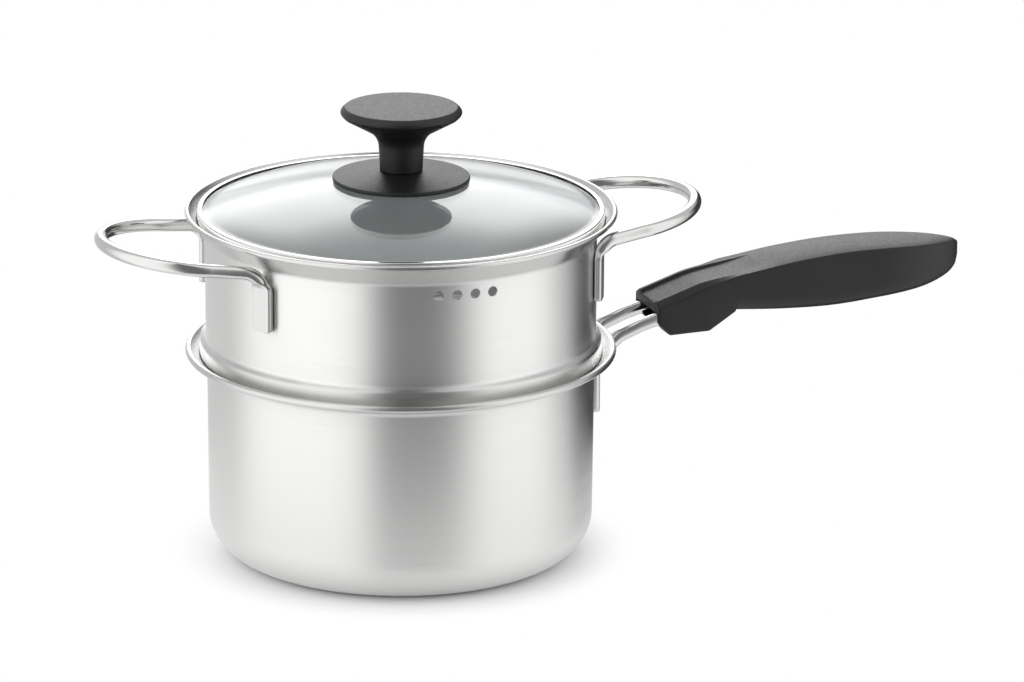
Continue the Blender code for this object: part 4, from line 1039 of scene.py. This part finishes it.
notch = [
    Vector((0, y * NOTCH_HALF, MOUTH[1] + z * NOTCH_DEEP)) for y, z in ((-1, -1), (1, -1), (1, 0), (-1, 0))
]
cut(grip, prism(notch, ((MOUTH[0] - CUT_LEAD, 0, 0), (MOUTH[0] + NOTCH_LONG, 0, 0))))
cut(grip, drum(SCREW_PLACE, BLOCK_LOW - CUT_LEAD, SEAT + GAP, GRIP_HEAD + SCREW_CLEARANCE))
cut(grip, drum(SCREW_PLACE, SEAT - BORE_OVERLAP, rod_height(SCREW_PLACE), GRIP_SHANK + SCREW_CLEARANCE))
settle(grip, "pan", "handle_grip")

# %% [markdown]
# ## Screws
#
# Two pan-headed screws hold the grip and the knob. The head is an outline spun round its axis, and
# the recess for the driver is a cross of two flat blades, cut out with a Boolean.


# %% Make the screws
TIP_SHARE, HEAD_ROUND = 0.6, 0.8  # chamfer at the tip and rounding of the head, as shares
BLADE_LONG, BLADE_THICK = 0.6, 0.11  # half sizes of the driver's blades, as shares of the head's radius
BLADE_LEAD, RECESS = 1, 1.4  # the blades start this far below the head and go this deep into it


def make_screw(name, replaced, body, x, radius, head):
    """A round-headed screw that points up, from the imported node's own lowest and highest level."""
    low, high = levels(replaced)[1:]
    seat = low + HEAD_HEIGHT
    tip = TIP_SHARE * radius
    outline = rounded(flat([
        (0, high, 0), (radius - tip, high, 0), (radius, high - tip, 0), (radius, seat, 0),
        (head, seat, 0), (head, low, HEAD_ROUND * (seat - low)), (0, low, 0),
    ]))
    obj = spun(name, outline, POLISHED, 48)
    for turn in (0, math.pi / 2):
        blade = [
            Matrix.Rotation(turn, 3, "Z") @ Vector((a * head * BLADE_LONG, b * head * BLADE_THICK, 0))
            for a, b in ((-1, -1), (1, -1), (1, 1), (-1, 1))
        ]
        cut(obj, prism(blade, ((0, 0, low - BLADE_LEAD), (0, 0, low + RECESS))))
    obj.data.transform(Matrix.Translation((x * MM, 0, 0)))
    settle(obj, body, replaced)


KNOB_SHANK, KNOB_HEAD = 2.3, 4.6
make_screw("grip_fixing_screw", "grip_screw", "pan", SCREW_PLACE, GRIP_SHANK, GRIP_HEAD)
make_screw("knob_fixing_screw", "knob_screw", "lid", 0.0, KNOB_SHANK, KNOB_HEAD)

# %% [markdown]
# ## The lid's rim and glass
#
# The glass is a shallow dome with a narrow flat border, and a steel channel is crimped round its
# edge. The dome's two faces are parts of spheres with one centre, so the glass is equally thick all
# over. Its polished edges are rounded a little outside and chamfered at the hole.

# %% The steel rim
RIM_SHEET, RIM_LIP, RIM_ROUND, LIP_ROUND = 0.4, 2.35, 0.8, 0.15


def ring_outline(rows, step=STEP):
    """A closed outline, started in the middle of its first side."""
    loop = flat(rows)
    middle = (loop[0][0] + loop[-1][0]) / 2
    return rounded([(middle, 0)] + loop + [(middle, 0)], step)[:-1]


lip, inside = LID[0] - RIM_LIP, LID[0] - RIM_SHEET
rim_outline = ring_outline([
    (lip, LID[2], LIP_ROUND), (LID[0], LID[2], RIM_ROUND),
    (LID[0], LID[1], RIM_ROUND), (lip, LID[1], LIP_ROUND),
    (lip, LID[1] + RIM_SHEET, LIP_ROUND), (inside, LID[1] + RIM_SHEET, RIM_ROUND - RIM_SHEET),
    (inside, LID[2] - RIM_SHEET, RIM_ROUND - RIM_SHEET), (lip, LID[2] - RIM_SHEET, LIP_ROUND),
])
settle(spun("lid_rim_channel", rim_outline, POLISHED, 192, True), "lid", "lid_rim")

# %% The glass
GLASS_THICK, GLASS_FLAT, DOME_RISE, GLASS_HOLE, DOME_ROWS = 4.0, 2.2, 14.9, 4.0, 40
GLASS_ROUND, HOLE_CHAMFER = 0.5, 0.3
glass_edge = inside - GAP
edge_top = LID[1] + RIM_SHEET + GAP + GLASS_THICK
dome_radius = glass_edge - GLASS_FLAT
sphere = (dome_radius ** 2 + DOME_RISE ** 2) / (2 * DOME_RISE)
sphere_middle = edge_top + DOME_RISE - sphere


def dome_height(radius, ball):
    """Height of one of the dome's faces, each of which follows a ball of its own radius."""
    return sphere_middle + math.sqrt(ball ** 2 - radius ** 2)


under_ball = sphere - GLASS_THICK
under_radius = math.sqrt(under_ball ** 2 - (edge_top - GLASS_THICK - sphere_middle) ** 2)


def face_rows(outer, ball):
    start, run = GLASS_HOLE + HOLE_CHAMFER, outer - GLASS_HOLE - HOLE_CHAMFER
    spots = [start + run * k / DOME_ROWS for k in range(DOME_ROWS + 1)]
    return [Vector((r, 0, dome_height(r, ball))) for r in spots]


upper, lower = face_rows(dome_radius, sphere), face_rows(under_radius, under_ball)
border = rounded(flat([
    (dome_radius, edge_top, 0), (glass_edge, edge_top, GLASS_ROUND),
    (glass_edge, edge_top - GLASS_THICK, GLASS_ROUND), (under_radius, edge_top - GLASS_THICK, 0),
]))[1:-1]
hole = [Vector((GLASS_HOLE, 0, z)) for z in (lower[0].z + HOLE_CHAMFER, upper[0].z - HOLE_CHAMFER)]
dome = spun("dome_glass", upper + border + lower[::-1] + hole, GLASS, 192, True)
settle(dome, "lid", "lid_glass")
print("the dome follows a ball of", round(sphere), "mm radius")

# %% [markdown]
# ## The knob and its flange
#
# The knob is a mushroom: a thick disc with a rounded edge and a barely crowned top, on a stem that
# flares out under it. It stands on a shallow dished flange that keeps hot glass away from the
# fingers. Both are turned outlines of (radius, level, rounding) corners, with the roundings that a
# mould leaves: 1 to 1.6 mm round the knob's disc, and 0.6 mm at the flange's edge.

# %% Spin the knob
knob_foot, knob_top = levels("knob")[1:]
KNOB_DISC, KNOB_EDGE, KNOB_UNDER, KNOB_BORE = 5.0, 27.7, 25.6, 4.3
under = knob_top - KNOB_DISC
bore_top = levels("knob_insert")[2] + GAP
knob_outline = rounded(flat([
    (0, knob_top, 0), (12.5, knob_top - 0.1, 0), (25.0, knob_top - 0.4, 1.5),
    (KNOB_EDGE, knob_top - 2.9, 1.6), (KNOB_UNDER, under, 1.0),
    (10.4, under - 8.6, 9.0), (9.9, knob_foot + 8.0, 6.0), (9.5, knob_foot, 0.2),
    (KNOB_BORE, knob_foot, 0), (KNOB_BORE, bore_top, 0), (0, bore_top, 0),
]), math.radians(5))
settle(spun("mushroom_knob", knob_outline, PHENOLIC, 128), "lid", "knob")

# %% Spin the flange
SCREW_HOLE = 2.8  # in the flange, the gaskets and the washer
FLANGE_WEB, FLANGE_EDGE, FLANGE_FOOT, FLANGE_ROUND = 1.7, 1.9, 2.0, 0.6
flange_radius, flange_low, flange_top = levels("knob_flange")
web = flange_top - FLANGE_WEB
flange_outline = ring_outline([
    (SCREW_HOLE, flange_top, 0), (10.5, flange_top, 2.0),
    (flange_radius, flange_low + FLANGE_EDGE, FLANGE_ROUND), (flange_radius, flange_low, FLANGE_ROUND),
    (flange_radius - FLANGE_FOOT, flange_low, 0.2), (9.5, web, 1.0), (SCREW_HOLE, web, 0),
])
settle(spun("knob_dish", flange_outline, PHENOLIC, 128, True), "lid", "knob_flange")

# %% [markdown]
# ## Gaskets and washer
#
# A thin silicone washer lies between flange and glass, a collared one under the glass keeps the
# screw off the hole's edge, and a steel washer spreads the screw's pull. They take their levels
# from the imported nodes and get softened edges.

# %% Spin the gaskets and the washer
COLLAR, COLLAR_FOOT = 3.7, 1.5  # radius of the lower gasket's collar, and thickness below it
SOFT, SOFT_EDGE, SOFT_FOOT = 0.2, 0.25, 0.4  # roundings inside, outside and of the collared one's foot

for name, replaced, collared, material, slot_name in (
    ("top_gasket", "flange_gasket", False, SILICONE, "silicone"),
    ("collar_gasket", "lower_gasket", True, SILICONE, "silicone"),
    ("steel_washer", "knob_washer", False, POLISHED, "polished_steel"),
):
    radius, low, high = levels(replaced)
    if collared:
        shoulder = low + COLLAR_FOOT
        outside = [(COLLAR, high, SOFT), (COLLAR, shoulder, SOFT), (radius, shoulder, SOFT_FOOT),
                   (radius, low, SOFT_FOOT)]
    else:
        outside = [(radius, high, SOFT_EDGE), (radius, low, SOFT_EDGE)]
    rows = [(SCREW_HOLE, high, SOFT), *outside, (SCREW_HOLE, low, SOFT)]
    settle(spun(name, ring_outline(rows, math.radians(15)), material, 96, True), "lid", replaced)

# %% [markdown]
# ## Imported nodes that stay
#
# The tie plate inside the grip and the knob's brass insert are already right as they are: a drilled
# plate and a grooved sleeve that nobody sees from outside. They keep their shapes and only get the
# finishes made above.

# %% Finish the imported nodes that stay
for name, material in (("grip_tie_plate", POLISHED), ("knob_insert", BRASS)):
    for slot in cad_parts[name].material_slots:
        slot.material = material
    print(name, "is", material.name)

# %% [markdown]
# ## The floor
#
# The object stands on a plain pale floor. Close to it the floor is a matt surface that takes the
# object's soft shadow. Further out it turns to pure white, as paper does when it runs on into a
# bright background. Light Path tells which rays see that white: the camera's, and those that metal
# and glass pass on, but not the ones that light the object.

# %% Make the floor
FLOOR_RADIUS, WHITE_START, WHITE_END = 0.20, 0.07, 0.105
FLOOR_DROP = 0.05 * MM
FIBRE = 3 * MM


def floor_material():
    made, tree, shader, place = new_material("matt white paper", Roughness=0.9)
    fibres = node(tree, "ShaderNodeTexNoise", {"Vector": place, "Scale": 1 / FIBRE, "Detail": 3.0})
    tone = node(tree, "ShaderNodeMix", {
        0: fibres, 6: linear("#F4F4F4"), 7: linear("#F8F8F8"),
    }, data_type="RGBA")
    plug(shader, {"Base Color": tone})
    rays = node(tree, "ShaderNodeLightPath").outputs
    seen = node(tree, "ShaderNodeMath", {0: rays["Is Camera Ray"], 1: rays["Is Glossy Ray"]}, operation="ADD")
    seen = node(tree, "ShaderNodeMath", {
        0: seen, 1: rays["Is Transmission Ray"],
    }, operation="ADD", use_clamp=True)
    radius = node(tree, "ShaderNodeVectorMath", {0: place}, operation="LENGTH")
    away = node(tree, "ShaderNodeMapRange", {
        0: radius, 1: WHITE_START, 2: WHITE_END,
    }, interpolation_type="SMOOTHSTEP")
    share = node(tree, "ShaderNodeMath", {0: seen, 1: away}, operation="MULTIPLY")
    white = node(tree, "ShaderNodeEmission", {"Color": (1, 1, 1, 1), "Strength": 1.0})
    both = node(tree, "ShaderNodeMixShader", {0: share, 1: shader.outputs[0], 2: white})
    plug(tree.nodes["Material Output"], {"Surface": both})
    return made


def make_floor():
    shape = bmesh.new()
    bmesh.ops.create_circle(shape, cap_ends=True, segments=96, radius=FLOOR_RADIUS)
    bmesh.ops.translate(shape, verts=shape.verts, vec=(0, 0, -FLOOR_DROP))
    obj = new_object("floor", [], [])
    shape.to_mesh(obj.data)
    shape.free()
    obj.data.materials.append(floor_material())


make_floor()
print("the floor is a disc of", FLOOR_RADIUS, "m")

# %% [markdown]
# ## Studio light
#
# Brushed steel shows the room as upright bands, so the light is what draws these vessels. The
# photograph has a bright band left of the middle, a dark one near the middle and a bright one on
# the right. The world gives them as soft lobes by direction round the vertical axis: two bright
# sides and a dim front where the camera stands. The grooves under the rims are nearly black in the
# photograph and the glass shines at the back, so the back of the room is dark low down, with a large
# soft box over it that lights the tops. On level faces all of it adds up to 0.96 of plain white, so
# colours render nearly as they are written. The camera sees plain white, through the glass too.

# %% The world
LEVEL = 0.74
LIGHTS = (
    # Angle from the camera towards the right, inner and outer half-width, added brightness, and any
    # pairs of elevations: the first is where the light is gone and the second where it is full.
    (-62, 12, 58, 0.64), (74, 8, 36, 0.52),  # the bright sides
    (9, 5, 36, -0.54),  # the dim front, where the camera stands
    (153, 18, 42, -0.68, (32, 14)),  # the dark lower back of the room
    (182, 11, 19, 3.10, (10, 20), (50, 33)),  # a large soft box high at the back
    (182, 9, 16, 0.80, (-14, 2), (21, 12)),  # and its weaker lower end
)


def make_world():
    world = bpy.data.worlds.new("studio")
    world.use_nodes = True
    tree = world.node_tree
    tree.nodes.clear()
    way = node(tree, "ShaderNodeTexCoord").outputs["Generated"]
    level_way = node(tree, "ShaderNodeVectorMath", {0: way, 1: (1, 1, 0)}, operation="MULTIPLY")
    level_way = node(tree, "ShaderNodeVectorMath", {0: level_way}, operation="NORMALIZE")
    rise = node(tree, "ShaderNodeSeparateXYZ", {0: way}).outputs["Z"]
    total = LEVEL
    for angle, inner, outer, gain, *heights in LIGHTS:
        turn = math.radians(angle)
        middle = TO_CAMERA * math.cos(turn) + TO_RIGHT * math.sin(turn)
        near = node(tree, "ShaderNodeVectorMath", {
            0: level_way, 1: middle,
        }, operation="DOT_PRODUCT").outputs["Value"]
        light = node(tree, "ShaderNodeMapRange", {
            0: near, 1: math.cos(math.radians(outer)), 2: math.cos(math.radians(inner)), 3: 0.0, 4: gain,
        }, interpolation_type="SMOOTHSTEP")
        for gone, full in heights:
            share = node(tree, "ShaderNodeMapRange", {
                0: rise, 1: math.sin(math.radians(gone)), 2: math.sin(math.radians(full)),
            }, interpolation_type="SMOOTHSTEP")
            light = node(tree, "ShaderNodeMath", {0: light, 1: share}, operation="MULTIPLY")
        total = node(tree, "ShaderNodeMath", {0: total, 1: light}, operation="ADD")
    light = node(tree, "ShaderNodeBackground", {"Color": (1, 1, 1, 1), "Strength": total})
    white = node(tree, "ShaderNodeBackground", {"Color": (1, 1, 1, 1), "Strength": 1.0})
    rays = node(tree, "ShaderNodeLightPath").outputs
    seen = node(tree, "ShaderNodeMath", {
        0: rays["Is Camera Ray"], 1: rays["Is Transmission Ray"],
    }, operation="ADD", use_clamp=True)
    both = node(tree, "ShaderNodeMixShader", {0: seen, 1: light, 2: white})
    node(tree, "ShaderNodeOutputWorld", {"Surface": both})
    bpy.context.scene.world = world
    return world


world = make_world()
bpy.context.scene.view_settings.view_transform = "Standard"
print("the world has", len(world.node_tree.nodes), "nodes")
